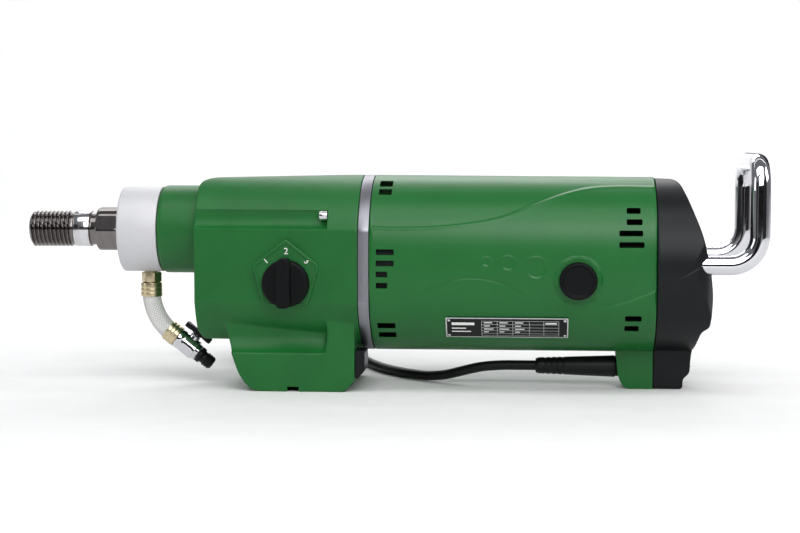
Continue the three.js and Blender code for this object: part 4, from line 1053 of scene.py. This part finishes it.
def cord():
    line = cord_route()
    curve = bpy.data.curves.new("mains_cord", "CURVE")
    curve.dimensions = "3D"
    curve.bevel_depth = CORD_R * MM
    curve.bevel_resolution = 6
    curve.use_fill_caps = True
    spline = curve.splines.new("POLY")
    spline.points.add(len(line) - 1)
    for p, v in zip(spline.points, line):
        p.co = (*(Vector(v) * MM), 1)
    spline.use_smooth = True
    o = bpy.data.objects.new("mains_cord", curve)
    bpy.context.scene.collection.objects.link(o)
    dress(o, "rubber", "machine", ["cord_run", "cord_coil"])
    boot = [(180.4, 4.5), (180.4, 6.0), (183, 7.0)]
    for k in range(4):
        x, r = 188 + 5 * k, 7.2 + 0.18 * k
        boot += [(x, r), (x + 0.4, r - 0.45), (x + 1.4, r - 0.45), (x + 1.8, r + 0.05)]
    boot += [(248.7, 9.4), (249.2, 8.6), (262, 8.6), (262, 4.6), (180.4, 4.5)]
    turned("cord_strain_relief", boot, "rubber", "machine", ["cord_boot"], 64, (0, 0, CORD_Z), r=0.25,
           angle=50)
    x = COIL.x - 44
    inner = rounded([(x - 15.2, 0.75), (x + 12.2, 0.75), (x + 12.2, 28.4), (x - 15.2, 28.4)], 5, 6)
    outer = rounded([(x - 15.9, 0.05), (x + 12.9, 0.05), (x + 12.9, 29.1), (x - 15.9, 29.1)], 5.5, 6)
    rows = []
    for ring, y in ((outer, 158), (outer, 166), (inner, 166), (inner, 158), (outer, 158)):
        rows.append([(p[0], y, p[1]) for p in ring])
    tie = piece("cable_tie", *grid(rows, closed_v=True), "black_plastic", "machine", ["cord_tie"])
    return o, tie


def plug():
    """Two round pins, a moulded body with a waist, and a tapered cable sleeve."""
    y, z = COIL.y + 34, 46.7
    end = COIL.x + 0.5
    profile = [(end, 0), (end, 5.4), (end - 3, 6.2), (end - 22, 8.0), (end - 25, 13.5), (end - 33, 16.2),
               (end - 48, 15.0), (end - 58, 17.8), (end - 73.5, 18), (end - 73.5, 0)]
    body = lathe(rounded(profile, [0, 0.5, 1, 3, 4, 6, 8, 5, 1.0, 0], 4, closed=False), 72, (0, y, z))
    pin = [(end - 72, 0), (end - 72, 2.35), (end - 92.4, 2.35), (end - 93, 0)]
    pin = rounded(pin, [0, 0, 1.6, 0], 4, closed=False)
    pins = [lathe(pin, 24, (0, y + 9.5 * s, z)) for s in (-1, 1)]
    o = piece("plug_body", *body, "rubber", "machine", ["cord_plug"], angle=50)
    p = piece("plug_pins", *joined(*pins), "bearing_steel", "machine")
    return o, p


the_cord, tie = cord()
plug_body, plug_pins = plug()

# ---------------------------------------------------------------- inner parts keep their solids
for part in frame["record"]["subparts"]:
    node = frame["nodes"][part["node"]]
    if not node.hide_render:
        node.data.materials.clear()
        node.data.materials.append(MATERIALS[part["material_slot"]])

# ---------------------------------------------------------------- floor and light
def studio():
    world = bpy.data.worlds.new("studio")
    bpy.context.scene.world = world
    world.use_nodes = True
    world.node_tree.nodes["Background"].inputs[0].default_value = (0.93, 0.95, 1, 1)
    world.node_tree.nodes["Background"].inputs[1].default_value = 0.21
    floor = material("pale_floor", (0.80, 0.80, 0.80), 0.7, grain=40, bump=0.0, vary=0.01)
    rows = []
    for k in range(25):
        t = k / 24
        y, z = -4 + 7 * (t / 0.5), 0
        if t > 0.5:
            y, z = 3 + 1.6 * math.sin((t - 0.5) * PI), 1.6 * (1 - math.cos((t - 0.5) * PI))
        rows.append([(-5, y, z), (5, y, z)])
    rows.append([(-5, 4.6, 2.4), (5, 4.6, 2.4)])
    verts, faces = grid(rows)
    me = bpy.data.meshes.new("floor")
    me.from_pydata([tuple(v) for v in verts], [], faces)
    me.shade_smooth()
    o = bpy.data.objects.new("floor", me)
    bpy.context.scene.collection.objects.link(o)
    me.materials.append(floor)
    def lamp(name, at, aim, size, power):
        data = bpy.data.lights.new(name, "AREA")
        data.shape = "RECTANGLE"
        data.size, data.size_y = size
        data.energy = power
        lamp_object = bpy.data.objects.new(name, data)
        bpy.context.scene.collection.objects.link(lamp_object)
        lamp_object.location = at
        lamp_object.rotation_euler = (Vector(aim) - Vector(at)).to_track_quat("-Z", "Y").to_euler()
    lamp("overhead", (0.05, -0.7, 1.7), (0.05, 0, 0.1), (2.2, 0.9), 15)
    lamp("front", (0.45, -1.35, 1.0), (0.12, 0, 0.1), (1.5, 0.9), 19)
    lamp("left", (-1.7, -0.6, 0.7), (0, 0, 0.1), (0.6, 1.1), 5)
    lamp("right", (1.8, -0.1, 1.1), (0.1, 0, 0.1), (0.9, 0.9), 9)
    lamp("back", (-0.2, 1.7, 1.5), (0.05, 0, 0.1), (1.6, 0.8), 14)
    lamp("wall", (0.0, 1.2, 2.6), (0, 4.2, 0.9), (5, 1.0), 170)
    card_finish = material("black_card", (0.01, 0.01, 0.01), 0.9, bump=0.0)
    for name, x, y, wide in (("card_right", 1.25, -1.0, 0.5), ("card_left", -1.3, -1.6, 0.35),
                             ("card_front", 0.25, -2.2, 1.3), ("card_behind", 0.9, 1.3, 0.5)):
        turn = math.atan2(y, x)
        ends = [(x - wide * math.sin(turn), y + wide * math.cos(turn)),
                (x + wide * math.sin(turn), y - wide * math.cos(turn))]
        high = 0.75 if name == "card_front" else 1.1
        v = [(*ends[0], 0.02), (*ends[1], 0.02), (*ends[1], high), (*ends[0], high)]
        cm = bpy.data.meshes.new(name)
        cm.from_pydata(v, [], [(0, 1, 2, 3)])
        cm.materials.append(card_finish)
        c = bpy.data.objects.new(name, cm)
        bpy.context.scene.collection.objects.link(c)
        c.visible_camera = False
        c.visible_diffuse = False
        c.visible_shadow = False


studio()
bpy.context.scene.view_settings.view_transform = "Standard"
bpy.context.view_layer.update()
